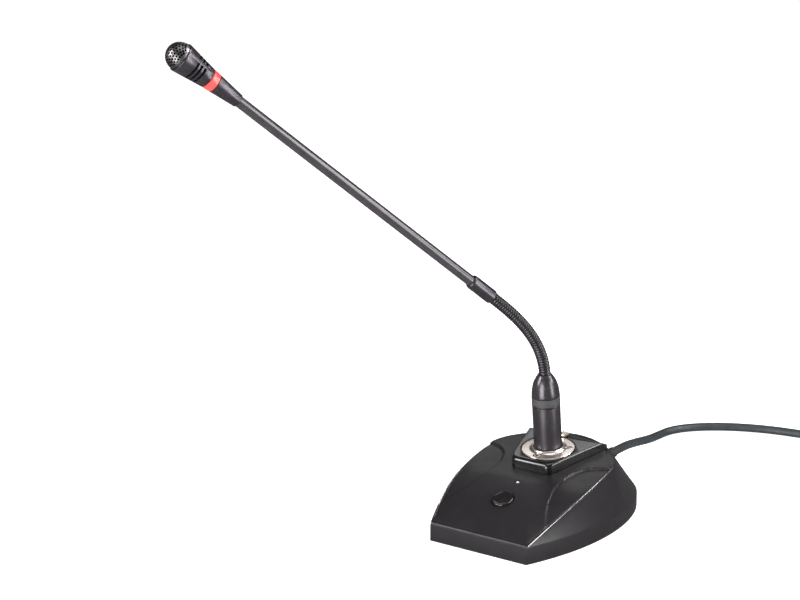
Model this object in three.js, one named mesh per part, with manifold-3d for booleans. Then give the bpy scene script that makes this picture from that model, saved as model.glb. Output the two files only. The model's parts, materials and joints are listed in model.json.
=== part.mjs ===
// Gooseneck podium microphone on a weighted table base, in millimetres.
// +Z is up, +X is to the right of a person facing the front, and +Y runs to the rear.
// The origin is on the underside of the bottom plate, at the middle of the base.

import * as THREE from 'three';
import { mergeVertices } from 'three/addons/utils/BufferGeometryUtils.js';
import Module from 'manifold-3d';

const wasm = await Module();
wasm.setup();

// ---------------------------------------------------------------- driving dimensions

const GAP = 0.3;                       // air kept between neighbouring pieces
const FLOOR = -1.5;                    // the surface that the feet stand on
const DEG = Math.PI / 180;

// Base
const HALF_LENGTH = 81;                // base length 162
const FRONT_HALF_WIDTH = 37.3;
const HALF_WIDTH = 54.6;               // base width 109.2
const RIM_HEIGHT = 11.2;               // vertical wall at the front
const RIM_FALL = 3;                    // how much lower the wall is at the rear
const COVER_BOTTOM = -1;               // the cover hides its feet, half a millimetre off the floor
const WALL = 2.2;
const PLATE_BOTTOM = 0.8;
const PLATE_TOP = 2.3;
const FEET = [[28, -70], [-28, -70], [34, 48], [-34, 48]];
const POSTS = [[30, -55], [-30, -55], [38, 30], [-38, 30]];

// Socket and raised housing, about the tilted axis of the plug
const SOCKET_CENTRE = new THREE.Vector3(0, 5, 46.6);
const SOCKET_TILT = 6.5 * DEG;
const FLANGE_RADIUS = 18;
const SHELF_DEPTH = 2;
const BARREL_RADIUS = 11.9;
const SHELL_RADIUS = 9.5;              // a 19 mm three-pin plug
const SHELL_BORE = 8.2;
const PIN_RADIUS = 1.2;
const PIN_HOLE_RADIUS = 1.55;
const PIN_CIRCLE = 4.1;
const INSERT_RADIUS = 7.8;             // the moulded disc that carries the plug's pins
const INSERT_THICKNESS = 10;
const SCREW_CIRCLE = 14.2;
const SCREW_ANGLES = [27, 147, 267];
const SCREW_HOLE_RADIUS = 1.5;
const LATCH_PLACE = 21.2;              // centre of the latch's notch, behind the plug axis
const BEVEL_START = 21;                // the housing's top slopes down from here to its rear edge
const BEVEL_END = 31;
const BEVEL_DROP = 4.4;
const HOUSING_DEPTH = 12;

// Push-button and lamp panel
const PANEL_POINT = new THREE.Vector3(0, -51.3, 27.3);
const PANEL_TILT = 21 * DEG;
const CAP_RADIUS = 7.4;
const LAMP_OFFSET = 19.2;
const LAMP_TOP = -0.6;
const BOARD_TOP = -8.5;
const BOARD_THICKNESS = 1.6;
const BUTTON_GAP = 0.5;
const LAMP_HOLE_RADIUS = 1.6;

// Stem
const NOSE_START = 32.1;
const NOSE_TOP = 54;
const BAND_RADIUS = 9.6;
const BAND_TOP = 38.6;
const LEAN_DIRECTION = -126.75 * DEG;  // about the plug axis, from +X
const FULL_BEND = 44.95 * DEG;         // the lean that the neck's curve would end at
const EASE_LENGTH = 76;                // and how far along the neck that would be
const NECK_LENGTH = 71.5;
const NECK_RADIUS = 4;
const LINK_COUNT = 8;
const LINK_GAP = 1.1;
const TUBE_RADIUS = 3.6;
const TUBE_BORE = 2.4;

// Stations along the straight boom, from the end of the flexible neck
const FERRULE_END = 20;
const TUBE_START = 5.8;
const TUBE_END = 229;
const CONE_START = 223;
const RING_START = 242;
const RING_END = 247;
const BARREL_END = 269.3;
const GRILLE_RADIUS = 9;
const GRILLE_WALL = 0.8;
const GRILLE_HEIGHT = 9.2;
const SLOT_STATIONS = [254.2, 257.1, 260];
const SLOT_WIDTH = 1.4;
const SLOT_ARC = 105 * DEG;
const SLOT_ANGLES = [69.5, 189.5, 309.5];
const HEAD_TILT = 0.4 * DEG;           // the head droops a little where it joins the boom

// Cable: 3 m long, of which all but the lead-out and the tail is wound in one coil
const CABLE_RADIUS = 3;
const CABLE_SIDES = 8;
const GLAND_HEIGHT = 17.5;
const GLAND_START = 62;
const GLAND_END = 93;
const GLAND_RADIUS = 4.8;
const COIL_CENTRE = new THREE.Vector2(155, 204);
const COIL_RADIUS = 35;
const COIL_PITCH = 6.1;
const COIL_COLUMNS = 3;
const COIL_LAYERS = 4;
const COIL_FIRST = 2.9;                // height of the lowest turn's centre
const TAIL_RADIUS = 50;
const CABLE_PLUG_HEIGHT = FLOOR + SHELL_RADIUS;
const CABLE_ROUTE = [
  [0, 93.3, 17.4], [-1.3, 104, 16.5], [-3.2, 117, 14.8], [-5.4, 131, 12.1], [-7.9, 148, 8.4],
  [-10.6, 166, 4.5], [-12.4, 182, 2.2], [-11.2, 196, 1.7], [-5, 209, 1.6], [7, 221, 1.6],
  [24, 232, 1.6], [45, 240.5, 1.6], [70, 245.5, 1.7], [100, 247, 2.2], [130.5, 245.3, 2.9],
];

// ---------------------------------------------------------------- materials

function finish(color, roughness, metalness) {
  return new THREE.MeshStandardMaterial({ color, roughness, metalness });
}

const looks = {
  cover: () => finish(0x2b292b, 0.6, 0),
  gloss: () => finish(0x111012, 0.2, 0),
  steel: () => finish(0x6d6f72, 0.5, 0.9),
  nickel: () => finish(0xd9cdbd, 0.25, 0.95),
  brass: () => finish(0xc9a85c, 0.3, 0.95),
  rubber: () => finish(0x18181a, 0.85, 0),
  board: () => finish(0x1f5a34, 0.6, 0),
  satin: () => finish(0x2a282c, 0.4, 0.7),
  ring: () => finish(0xd2141e, 0.15, 0),
  insert: () => finish(0x202022, 0.5, 0),
  lamp: () => finish(0xb8bcc0, 0.2, 0),
  cable: () => finish(0x20262c, 0.45, 0),
  mesh: () => finish(0x77757a, 0.35, 0.9),
};

// ---------------------------------------------------------------- solids and frames

function toSolid(geometry, matrix) {
  const bare = geometry.clone();
  bare.deleteAttribute('normal');
  bare.deleteAttribute('uv');
  if (matrix) bare.applyMatrix4(matrix);
  const merged = mergeVertices(bare, 1e-4);
  return new wasm.Manifold(new wasm.Mesh({
    numProp: 3,
    vertProperties: new Float32Array(merged.attributes.position.array),
    triVerts: new Uint32Array(merged.index.array),
  }));
}

function toGeometry(solid) {
  const mesh = solid.getMesh();
  const geometry = new THREE.BufferGeometry();
  geometry.setAttribute('position', new THREE.BufferAttribute(new Float32Array(mesh.vertProperties), 3));
  geometry.setIndex(new THREE.BufferAttribute(new Uint32Array(mesh.triVerts), 1));
  geometry.computeVertexNormals();
  return geometry;
}

function cut(body, ...tools) {
  return tools.reduce((rest, tool) => rest.subtract(tool), body);
}

// A lathe about +Z from [radius, height] pairs. A hollow profile closes on itself.
function turned(profile, segments = 20, hollow = false) {
  const points = profile.map(([radius, height]) => new THREE.Vector2(radius, height));
  if (hollow) points.push(points[0].clone());
  const area = THREE.ShapeUtils.area(points);
  if (area < 0) points.reverse();
  const geometry = new THREE.LatheGeometry(points, segments);
  return geometry.rotateX(Math.PI / 2);
}

function rod(radius, bottom, top, segments = 12) {
  return turned([[0, bottom], [radius, bottom], [radius, top], [0, top]], segments);
}

function pipe(outer, inner, bottom, top, segments = 24) {
  return turned([[inner, bottom], [outer, bottom], [outer, top], [inner, top]], segments, true);
}

function block(width, depth, bottom, top, x = 0, y = 0) {
  return new THREE.BoxGeometry(width, depth, top - bottom).translate(x, y, (bottom + top) / 2);
}

function prism(shape, bottom, top, curveSegments = 6) {
  const options = { depth: top - bottom, bevelEnabled: false, curveSegments };
  return new THREE.ExtrudeGeometry(shape, options).translate(0, 0, bottom);
}

function shift(x, y, z = 0) {
  return new THREE.Matrix4().makeTranslation(x, y, z);
}

const socketMatrix = new THREE.Matrix4().makeRotationX(SOCKET_TILT).setPosition(SOCKET_CENTRE);
const panelMatrix = new THREE.Matrix4().makeRotationX(PANEL_TILT).setPosition(PANEL_POINT);

const model = new THREE.Group();
const socketFrame = new THREE.Group();
socketFrame.position.copy(SOCKET_CENTRE);
socketFrame.rotation.x = SOCKET_TILT;
const panelFrame = new THREE.Group();
panelFrame.position.copy(PANEL_POINT);
panelFrame.rotation.x = PANEL_TILT;
const stemFrame = new THREE.Group();
stemFrame.rotation.z = LEAN_DIRECTION;
socketFrame.add(stemFrame);
model.add(socketFrame, panelFrame);

function add(parent, name, geometry, material, x = 0, y = 0, z = 0) {
  const mesh = new THREE.Mesh(geometry, material);
  mesh.name = name;
  mesh.position.set(x, y, z);
  parent.add(mesh);
  return mesh;
}

// The three pins of the plug: two on the upper side and one below.
const PIN_PLACES = [-150, -30, 90].map((angle) => [
  PIN_CIRCLE * Math.cos(angle * DEG),
  PIN_CIRCLE * Math.sin(angle * DEG),
]);

// ---------------------------------------------------------------- base shell

function bezierPoints(values, count) {
  const [a, b, c, d] = values.map(([x, y]) => new THREE.Vector2(x, y));
  return new THREE.CubicBezierCurve(a, b, c, d).getPoints(count);
}

// Closed outline through the right side's curves, their mirror image and a straight front.
function mirroredOutline(curves, frontSteps) {
  const right = curves.flatMap(([values, count], index) => {
    const points = bezierPoints(values, count);
    return index ? points.slice(1) : points;
  });
  const left = right.slice(0, -1).reverse().map((point) => new THREE.Vector2(-point.x, point.y));
  const start = left[left.length - 1];
  const front = [];
  for (let step = 1; step < frontSteps; step += 1) {
    front.push(start.clone().lerp(right[0], step / frontSteps));
  }
  return [...right, ...left, ...front];
}

function insetOutline(points, distance) {
  return points.map((point, index) => {
    const before = points[(index + points.length - 1) % points.length];
    const after = points[(index + 1) % points.length];
    const first = point.clone().sub(before).normalize();
    const second = after.clone().sub(point).normalize();
    const normal = new THREE.Vector2(-(first.y + second.y), first.x + second.x).normalize();
    const stretch = Math.max(0.5, normal.x * -second.y + normal.y * second.x);
    return point.clone().addScaledVector(normal, distance / stretch);
  });
}

const RIM = mirroredOutline([
  [[[FRONT_HALF_WIDTH, -HALF_LENGTH], [46, -61], [HALF_WIDTH, -36], [HALF_WIDTH, -3]], 6],
  [[[HALF_WIDTH, -3], [HALF_WIDTH, 31], [42, HALF_LENGTH], [0, HALF_LENGTH]], 9],
], 4);

const CREASE = mirroredOutline([
  [[[FRONT_HALF_WIDTH, -80.7], [43, -61], [48.8, -39], [48.8, -13]], 6],
  [[[48.8, -13], [48.8, 6], [47.5, 15], [42, 22.5]], 4],
  [[[42, 22.5], [34, 33], [18, 45.5], [0, 45.5]], 5],
], 4);

const TOP_CENTRE = new THREE.Vector2(0, -20);

function creaseHeight(y) {
  const run = y + HALF_LENGTH;
  if (run < 90) return RIM_HEIGHT + 0.53 * run - 0.00225 * run * run;
  return 40.68 + 0.1 * (run - 90);
}

// How much the top bulges above its crease: round the button and, more, at the rear.
function crown(y, fraction) {
  const dip = 1.9 * THREE.MathUtils.smoothstep(y, -32, -12);
  const rise = 4.7 * THREE.MathUtils.smoothstep(y, 15, 45);
  return (2.2 - dip + rise) * (1 - fraction ** 4);
}

// How hollow the skirt is: strongly at the front, hardly at the rear.
function flare(y) {
  return 1.5 - 0.5 * THREE.MathUtils.smoothstep(y, -50, 25);
}

function rimHeight(y) {
  return RIM_HEIGHT - RIM_FALL * THREE.MathUtils.smoothstep(y, -30, 30);
}

// The base as a closed loft: wall, flared skirt, then the top in rings about TOP_CENTRE.
function baseLoft(inset, bottom) {
  const rim = insetOutline(RIM, inset);
  const crease = insetOutline(CREASE, inset);
  const rings = [];
  rings.push(rim.map((point) => [point.x, point.y, bottom]));
  rings.push(rim.map((point) => [point.x, point.y, rimHeight(point.y) - inset * 0.6]));
  for (const rise of [0.3, 0.65, 1]) {
    rings.push(rim.map((point, index) => {
      const run = 1 - (1 - rise) ** flare(point.y);
      const place = point.clone().lerp(crease[index], run);
      const top = creaseHeight(crease[index].y) - inset;
      return [place.x, place.y, THREE.MathUtils.lerp(rimHeight(point.y) - inset * 0.6, top, rise)];
    }));
  }
  for (const fraction of [0.85, 0.6, 0.3]) {
    rings.push(crease.map((point) => {
      const place = TOP_CENTRE.clone().lerp(point, fraction);
      return [place.x, place.y, creaseHeight(place.y) + crown(place.y, fraction) - inset * 1.05];
    }));
  }
  const count = rim.length;
  const positions = rings.flat(2);
  const lowCentre = positions.length / 3;
  positions.push(TOP_CENTRE.x, TOP_CENTRE.y, bottom);
  positions.push(TOP_CENTRE.x, TOP_CENTRE.y, creaseHeight(TOP_CENTRE.y) + crown(TOP_CENTRE.y, 0) - inset);
  const index = [];
  for (let point = 0; point < count; point += 1) {
    const next = (point + 1) % count;
    for (let ring = 0; ring + 1 < rings.length; ring += 1) {
      const low = ring * count;
      const high = low + count;
      index.push(low + point, low + next, high + next, low + point, high + next, high + point);
    }
    const last = (rings.length - 1) * count;
    index.push(last + point, last + next, lowCentre + 1, next, point, lowCentre);
  }
  const geometry = new THREE.BufferGeometry();
  geometry.setAttribute('position', new THREE.Float32BufferAttribute(positions, 3));
  geometry.setIndex(index);
  return geometry;
}

// ---------------------------------------------------------------- raised housing

const HOUSING_SIDE = [
  [12.8, -23.6], [15.2, -21.6], [18.4, -14], [22, -2], [24.5, 7.5], [28.2, 20], [30.4, 26.5], [28.4, 28.8],
];

function housingShape(grow) {
  const right = HOUSING_SIDE.map(([x, y]) => new THREE.Vector2(x, y));
  const left = [...right].reverse().map((point) => new THREE.Vector2(-point.x, point.y));
  return new THREE.Shape(insetOutline([...right, ...left], -grow));
}

function housing() {
  const bevel = new THREE.Shape();
  bevel.moveTo(BEVEL_START, 0);
  bevel.lineTo(BEVEL_END, -BEVEL_DROP);
  bevel.lineTo(BEVEL_END, 1);
  bevel.lineTo(BEVEL_START, 1);
  const wedge = prism(bevel, -40, 40).applyMatrix4(new THREE.Matrix4().makeBasis(
    new THREE.Vector3(0, 1, 0), new THREE.Vector3(0, 0, 1), new THREE.Vector3(1, 0, 0),
  ));
  const body = toSolid(prism(housingShape(0), -HOUSING_DEPTH, 0));
  const below = -HOUSING_DEPTH - 1;
  return cut(
    body,
    toSolid(prism(housingShape(-WALL), below, -SHELF_DEPTH - 2.4)),
    toSolid(wedge),
    toSolid(rod(FLANGE_RADIUS + 0.7, -SHELF_DEPTH, 1, 32)),
    toSolid(rod(BARREL_RADIUS + 0.5, below, 1, 24)),
    toSolid(block(7, 7, below, 1, 0, LATCH_PLACE)),
    ...SCREW_ANGLES.map((angle) => toSolid(rod(SCREW_HOLE_RADIUS, below, 1, 10), onScrewCircle(angle))),
  );
}

function onScrewCircle(angle) {
  return shift(SCREW_CIRCLE * Math.cos(angle * DEG), SCREW_CIRCLE * Math.sin(angle * DEG));
}

// ---------------------------------------------------------------- base pieces

function baseCover() {
  const outer = toSolid(baseLoft(0, COVER_BOTTOM));
  let shell = cut(outer, toSolid(baseLoft(WALL, COVER_BOTTOM - 1)));
  const posts = POSTS.map(([x, y]) => toSolid(rod(3.5, PLATE_TOP + GAP, 45, 10), shift(x, y)));
  for (const side of [-10, 10]) {
    const foot = panelMatrix.clone().multiply(shift(side, 8));
    posts.push(toSolid(rod(2.2, BOARD_TOP + GAP, 4, 8), foot));
  }
  for (const post of posts) shell = shell.add(post.intersect(outer));
  const lampPlace = panelMatrix.clone().multiply(shift(0, LAMP_OFFSET));
  const glandPlace = new THREE.Matrix4().makeRotationX(Math.PI / 2).setPosition(0, 0, GLAND_HEIGHT);
  shell = cut(
    shell,
    ...POSTS.map(([x, y]) => toSolid(rod(1.65, 0, 12, 10), shift(x, y))),
    toSolid(prism(housingShape(GAP), -14, 6), socketMatrix),
    toSolid(rod(CAP_RADIUS + BUTTON_GAP, -6, 6, 24), panelMatrix),
    toSolid(rod(LAMP_HOLE_RADIUS, -6, 6), lampPlace),
    toSolid(rod(GLAND_RADIUS + 0.4, -GLAND_END, -50, 16), glandPlace),
  );
  return shell;
}

function bottomPlate() {
  const outline = new THREE.Shape(insetOutline(RIM, WALL + GAP + 0.2));
  const panel = new THREE.Shape();
  panel.moveTo(-26, -20);
  panel.lineTo(26, -20);
  panel.lineTo(26, 40);
  panel.lineTo(-26, 40);
  const raised = toSolid(prism(panel, 0, PLATE_BOTTOM + 0.5));
  const sheet = toSolid(prism(outline, PLATE_BOTTOM, PLATE_TOP)).add(raised);
  return cut(
    sheet,
    ...POSTS.map(([x, y]) => toSolid(rod(1.7, -1, 4, 12), shift(x, y))),
    ...FEET.map(([x, y]) => toSolid(rod(2.3, -1, 4, 12), shift(x, y))),
  );
}

function ballastShape() {
  const shape = new THREE.Shape();
  shape.moveTo(-36, -48);
  shape.lineTo(36, -48);
  shape.lineTo(42, -30);
  shape.lineTo(42, 22);
  shape.lineTo(29, 28);
  shape.lineTo(26, 56);
  shape.lineTo(-26, 56);
  shape.lineTo(-29, 28);
  shape.lineTo(-42, 22);
  shape.lineTo(-42, -30);
  return shape;
}

function addBase() {
  add(model, 'base_cover', toGeometry(baseCover()), looks.cover());
  add(model, 'bottom_plate', toGeometry(bottomPlate()), looks.steel());
  add(model, 'ballast_weight', prism(ballastShape(), PLATE_TOP + 0.5, 16.5), looks.steel());
  const footProfile = [
    [0, FLOOR], [5.3, FLOOR], [6, FLOOR + 0.8], [6, PLATE_BOTTOM - GAP], [1.95, PLATE_BOTTOM - GAP],
    [1.95, PLATE_TOP + GAP], [2.9, PLATE_TOP + GAP], [0, 4.6],
  ];
  FEET.forEach(([x, y], index) => {
    add(model, `foot_${index + 1}`, turned(footProfile, 14), looks.rubber(), x, y);
  });
  const screwProfile = [[0, -0.9], [2.4, -0.9], [2.9, -0.3], [2.9, 0.5], [1.3, 0.5], [1.3, 10.6], [0, 11]];
  POSTS.forEach(([x, y], index) => {
    add(model, `base_screw_${index + 1}`, turned(screwProfile, 10), looks.steel(), x, y);
  });
}

// ---------------------------------------------------------------- socket

function socketShell() {
  const profile = [
    [9.9, 1], [10.3, 1.4], [11.5, 1.2], [12.5, 0.1], [17.2, 0], [17.5, 0.35], [18, 0.3], [18, -1.7],
    [BARREL_RADIUS, -1.7], [BARREL_RADIUS, -22.5], [8.6, -22.5], [8.6, -21.3], [9.9, -21.3],
  ];
  const holes = SCREW_ANGLES.map((angle) => toSolid(rod(SCREW_HOLE_RADIUS, -4, 2, 10), onScrewCircle(angle)));
  const sinks = SCREW_ANGLES.map((angle) => toSolid(rod(2.4, -0.8, 2, 12), onScrewCircle(angle)));
  return cut(toSolid(turned(profile, 30, true)), ...holes, ...sinks);
}

function cutPinHoles(body, bottom, top) {
  const holes = PIN_PLACES.map(([x, y]) => toSolid(rod(PIN_HOLE_RADIUS, bottom, top, 10), shift(x, y)));
  return cut(body, ...holes);
}

function socketInsert() {
  const profile = [[0, -21], [9.6, -21], [9.6, -18.2], [7.6, -18.2], [7.6, -1.5], [0, -1.5]];
  return cutPinHoles(toSolid(turned(profile, 24)), -22, 0);
}

// The disc that carries the pins inside either plug.
function plugInsert(bottom) {
  const top = bottom + INSERT_THICKNESS;
  return cutPinHoles(toSolid(rod(INSERT_RADIUS, bottom, top, 24)), bottom - 1, top + 1);
}

// A lever whose pad is pressed down to free the plug. Its leg goes down behind the flange.
function latchTab() {
  const pad = toSolid(block(5.4, 5, 0.3, 1.9, 0, 21.4));
  return pad.add(toSolid(block(4, 1.6, -9, 1, 0, 20.2)));
}

function addSocket() {
  add(socketFrame, 'collar_housing', toGeometry(housing()), looks.gloss());
  add(socketFrame, 'socket_shell', toGeometry(socketShell()), looks.nickel());
  add(socketFrame, 'socket_insert', toGeometry(socketInsert()), looks.insert());
  PIN_PLACES.forEach(([x, y], index) => {
    add(socketFrame, `socket_contact_${index + 1}`, rod(PIN_RADIUS, -28, -16, 10), looks.brass(), x, y);
  });
  const screwProfile = [[0, -6], [1.1, -5.5], [1.1, -0.5], [2, -0.5], [2, 0], [0, 0.35]];
  SCREW_ANGLES.forEach((angle, index) => {
    const place = new THREE.Vector3().applyMatrix4(onScrewCircle(angle));
    add(socketFrame, `flange_screw_${index + 1}`, turned(screwProfile, 10), looks.nickel(), place.x, place.y);
  });
  add(socketFrame, 'latch_tab', toGeometry(latchTab()), looks.nickel());
}

// ---------------------------------------------------------------- button and lamp

function addPanel() {
  const board = block(28, 37, BOARD_TOP - BOARD_THICKNESS, BOARD_TOP, 0, 7.5);
  add(panelFrame, 'circuit_board', board, looks.board());
  const body = toSolid(block(7, 7, BOARD_TOP + GAP, -4.2));
  const well = toSolid(rod(2.2, -7.6, 0, 12));
  add(panelFrame, 'push_switch', toGeometry(cut(body, well)), looks.insert());
  const capProfile = [
    [0, 1.3], [5, 1.1], [CAP_RADIUS, 0.2], [CAP_RADIUS, -3.4], [6.4, -3.4], [6.4, -1.2],
    [1.8, -1.2], [1.8, -5.5], [0, -5.5],
  ];
  add(panelFrame, 'push_button', turned(capProfile, 24), looks.gloss());
  const lampProfile = [
    [0, LAMP_TOP], [0.8, LAMP_TOP - 0.2], [1.25, LAMP_TOP - 0.8], [1.25, -6.8], [1.7, -6.8],
    [1.7, BOARD_TOP + GAP], [0, BOARD_TOP + GAP],
  ];
  add(panelFrame, 'led_lamp', turned(lampProfile, 12), looks.lamp(), 0, LAMP_OFFSET);
}

// ---------------------------------------------------------------- stem

function addPlug() {
  add(stemFrame, 'plug_shell', pipe(SHELL_RADIUS, SHELL_BORE, -16.5, NOSE_START - GAP), looks.satin());
  add(socketFrame, 'plug_insert', toGeometry(plugInsert(0)), looks.insert());
  const pinProfile = [[0, -14.5], [PIN_RADIUS, -13.6], [PIN_RADIUS, 16], [0, 16]];
  PIN_PLACES.forEach(([x, y], index) => {
    add(socketFrame, `plug_pin_${index + 1}`, turned(pinProfile, 10), looks.brass(), x, y);
  });
  const noseProfile = [
    [4.3, 24], [7.8, 24], [7.8, NOSE_START], [BAND_RADIUS, NOSE_START], [BAND_RADIUS, BAND_TOP],
    [9.3, 41.6], [8.6, 46], [7.2, 49.8], [4.7, NOSE_TOP], [2.6, NOSE_TOP], [2.6, 50], [4.3, 46],
  ];
  add(stemFrame, 'stem_nose', turned(noseProfile, 24, true), looks.satin());
}

// How far the neck leans: it bends most where it leaves the stem and straightens towards the boom.
function neckLean(distance) {
  return FULL_BEND * (1 - (1 - distance / EASE_LENGTH) ** 2);
}

// Place on the neck's centreline, added up in short steps.
function neckPlace(distance) {
  const steps = 60;
  const step = distance / steps;
  const place = { x: 0, z: NOSE_TOP };
  for (let index = 0; index < steps; index += 1) {
    const lean = neckLean((index + 0.5) * step);
    place.x += step * Math.sin(lean);
    place.z += step * Math.cos(lean);
  }
  return place;
}

function addNeck() {
  const pitch = (NECK_LENGTH - LINK_GAP) / LINK_COUNT;
  for (let link = 0; link < LINK_COUNT; link += 1) {
    const from = neckPlace(link * pitch + LINK_GAP);
    const to = neckPlace((link + 1) * pitch);
    const length = Math.hypot(to.x - from.x, to.z - from.z);
    const shape = pipe(NECK_RADIUS, 2.6, -length / 2, length / 2, 14);
    const middle = [(from.x + to.x) / 2, 0, (from.z + to.z) / 2];
    const mesh = add(stemFrame, `gooseneck_link_${link + 1}`, shape, looks.steel(), ...middle);
    mesh.rotation.y = Math.atan2(to.x - from.x, to.z - from.z);
  }
}

// One slot through the head barrel: a flat arc-shaped key on the axis.
function slotKey() {
  const shape = new THREE.Shape();
  shape.absarc(0, 0, 11, -SLOT_ARC / 2, SLOT_ARC / 2, false);
  shape.absarc(0, 0, 4.8, SLOT_ARC / 2, -SLOT_ARC / 2, true);
  return prism(shape, -SLOT_WIDTH / 2, SLOT_WIDTH / 2, 3);
}

function headBarrel() {
  const profile = [
    [2.6, 238], [3.2, 238], [3.2, RING_END + GAP], [6.65, RING_END + GAP], [9.65, 268.5], [9.65, BARREL_END],
    [8.8, BARREL_END], [8.6, 267.9], [5.9, 250.6], [5.4, 249.1], [2.6, 249.1],
  ];
  let body = toSolid(turned(profile, 24, true));
  for (const station of SLOT_STATIONS) {
    for (const angle of SLOT_ANGLES) {
      const place = new THREE.Matrix4().makeRotationZ(angle * DEG).setPosition(0, 0, station);
      body = cut(body, toSolid(slotKey(), place));
    }
  }
  return body;
}

function addBoom() {
  const boomFrame = new THREE.Group();
  const end = neckPlace(NECK_LENGTH);
  boomFrame.position.set(end.x, 0, end.z);
  boomFrame.rotation.y = neckLean(NECK_LENGTH);
  stemFrame.add(boomFrame);
  const ferruleProfile = [
    [2.6, 0], [4.4, 0], [4.85, 0.8], [4.85, FERRULE_END - 0.8], [4.5, FERRULE_END], [3.9, FERRULE_END],
    [3.9, TUBE_START - GAP], [2.6, TUBE_START - GAP],
  ];
  add(boomFrame, 'ferrule', turned(ferruleProfile, 20, true), looks.satin());
  add(boomFrame, 'boom_tube', pipe(TUBE_RADIUS, TUBE_BORE, TUBE_START, TUBE_END, 20), looks.gloss());
  addHead(boomFrame);
}

function addHead(boomFrame) {
  const headFrame = new THREE.Group();
  headFrame.position.set(-CONE_START * Math.sin(HEAD_TILT), 0, CONE_START * (1 - Math.cos(HEAD_TILT)));
  headFrame.rotation.y = HEAD_TILT;
  boomFrame.add(headFrame);
  const coneProfile = [
    [3.9, CONE_START], [4.3, CONE_START], [6.15, RING_START - GAP], [5, RING_START - GAP], [4.6, 236.5],
    [2.6, 235.5], [2.6, TUBE_END + GAP], [3.9, TUBE_END + GAP],
  ];
  add(headFrame, 'head_cone', turned(coneProfile, 24, true), looks.satin());
  const ringProfile = [
    [5.2, RING_START], [6.2, RING_START], [6.4, 244.5], [6.6, RING_END], [5.2, RING_END],
  ];
  add(headFrame, 'light_ring', turned(ringProfile, 24, true), looks.ring());
  add(headFrame, 'ring_board', pipe(4.8, 3.55, 243.8, 245, 16), looks.board());
  add(headFrame, 'head_barrel', toGeometry(headBarrel()), looks.satin());
  add(headFrame, 'capsule_mount', pipe(7.3, 6.5, 262.6, 266.1, 18), looks.rubber());
  add(headFrame, 'capsule', rod(6.1, 262.1, 269.1, 18), looks.nickel());
  const dome = [...domeArc(GRILLE_RADIUS, GRILLE_HEIGHT)];
  dome.push(...domeArc(GRILLE_RADIUS - GRILLE_WALL, GRILLE_HEIGHT - GRILLE_WALL).reverse());
  add(headFrame, 'grille', turned(dome, 22, true), looks.mesh());
}

// Quarter ellipse from the barrel's mouth to the axis.
function domeArc(radius, height) {
  const steps = 5;
  const points = [];
  for (let step = 0; step <= steps; step += 1) {
    const angle = (step / steps) * Math.PI / 2;
    const across = step === steps ? 0 : radius * Math.cos(angle);
    points.push([across, BARREL_END + GAP + height * Math.sin(angle)]);
  }
  return points;
}

// ---------------------------------------------------------------- cable and its plug

function tubeAlong(points) {
  const places = points.map((point) => new THREE.Vector3(...point));
  const path = new THREE.CatmullRomCurve3(places, false, 'centripetal');
  const section = new THREE.Shape();
  for (let side = 0; side < CABLE_SIDES; side += 1) {
    const angle = (side / CABLE_SIDES) * 2 * Math.PI;
    const corner = [CABLE_RADIUS * Math.cos(angle), CABLE_RADIUS * Math.sin(angle)];
    if (side) section.lineTo(...corner);
    else section.moveTo(...corner);
  }
  const steps = Math.max(4, Math.round(path.getLength() / (4 * CABLE_RADIUS)));
  return new THREE.ExtrudeGeometry(section, { steps, extrudePath: path, bevelEnabled: false });
}

// The last of the cable comes off the top of the coil and down its side to the plug.
function tailPoints() {
  const topTurn = COIL_FIRST + (COIL_LAYERS - 1) * COIL_PITCH;
  const points = [];
  const steps = 5;
  for (let step = 0; step <= steps; step += 1) {
    const share = step / steps;
    const angle = (42 - 42 * share) * DEG;
    const ease = THREE.MathUtils.smoothstep(share, 0, 1);
    const x = COIL_CENTRE.x + TAIL_RADIUS * Math.cos(angle);
    const y = COIL_CENTRE.y + TAIL_RADIUS * Math.sin(angle);
    points.push([x, y, THREE.MathUtils.lerp(topTurn, CABLE_PLUG_HEIGHT, ease)]);
  }
  points.push([COIL_CENTRE.x + TAIL_RADIUS, COIL_CENTRE.y - 4, CABLE_PLUG_HEIGHT]);
  return points;
}

function addCable() {
  const bore = CABLE_RADIUS + GAP;
  const glandProfile = [
    [bore, GLAND_START], [GLAND_RADIUS, GLAND_START], [GLAND_RADIUS, 77], [4.4, 81], [3.8, GLAND_END],
    [bore, GLAND_END],
  ];
  const gland = add(model, 'cable_gland', turned(glandProfile, 16, true), looks.rubber(), 0, 0, GLAND_HEIGHT);
  gland.rotation.x = -Math.PI / 2;
  add(model, 'cable_tube', tubeAlong(CABLE_ROUTE), looks.cable());

  const reach = (COIL_COLUMNS - 1) / 2 * COIL_PITCH + CABLE_RADIUS;
  const low = COIL_FIRST - CABLE_RADIUS;
  const high = COIL_FIRST + (COIL_LAYERS - 1) * COIL_PITCH + CABLE_RADIUS;
  const coil = pipe(COIL_RADIUS + reach, COIL_RADIUS - reach, low, high, 32);
  add(model, 'cable_coil', coil, looks.cable(), COIL_CENTRE.x, COIL_CENTRE.y);
  add(model, 'cable_tail', tubeAlong(tailPoints()), looks.cable());
  addTie(reach, low, high);
  addCablePlug();
}

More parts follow.
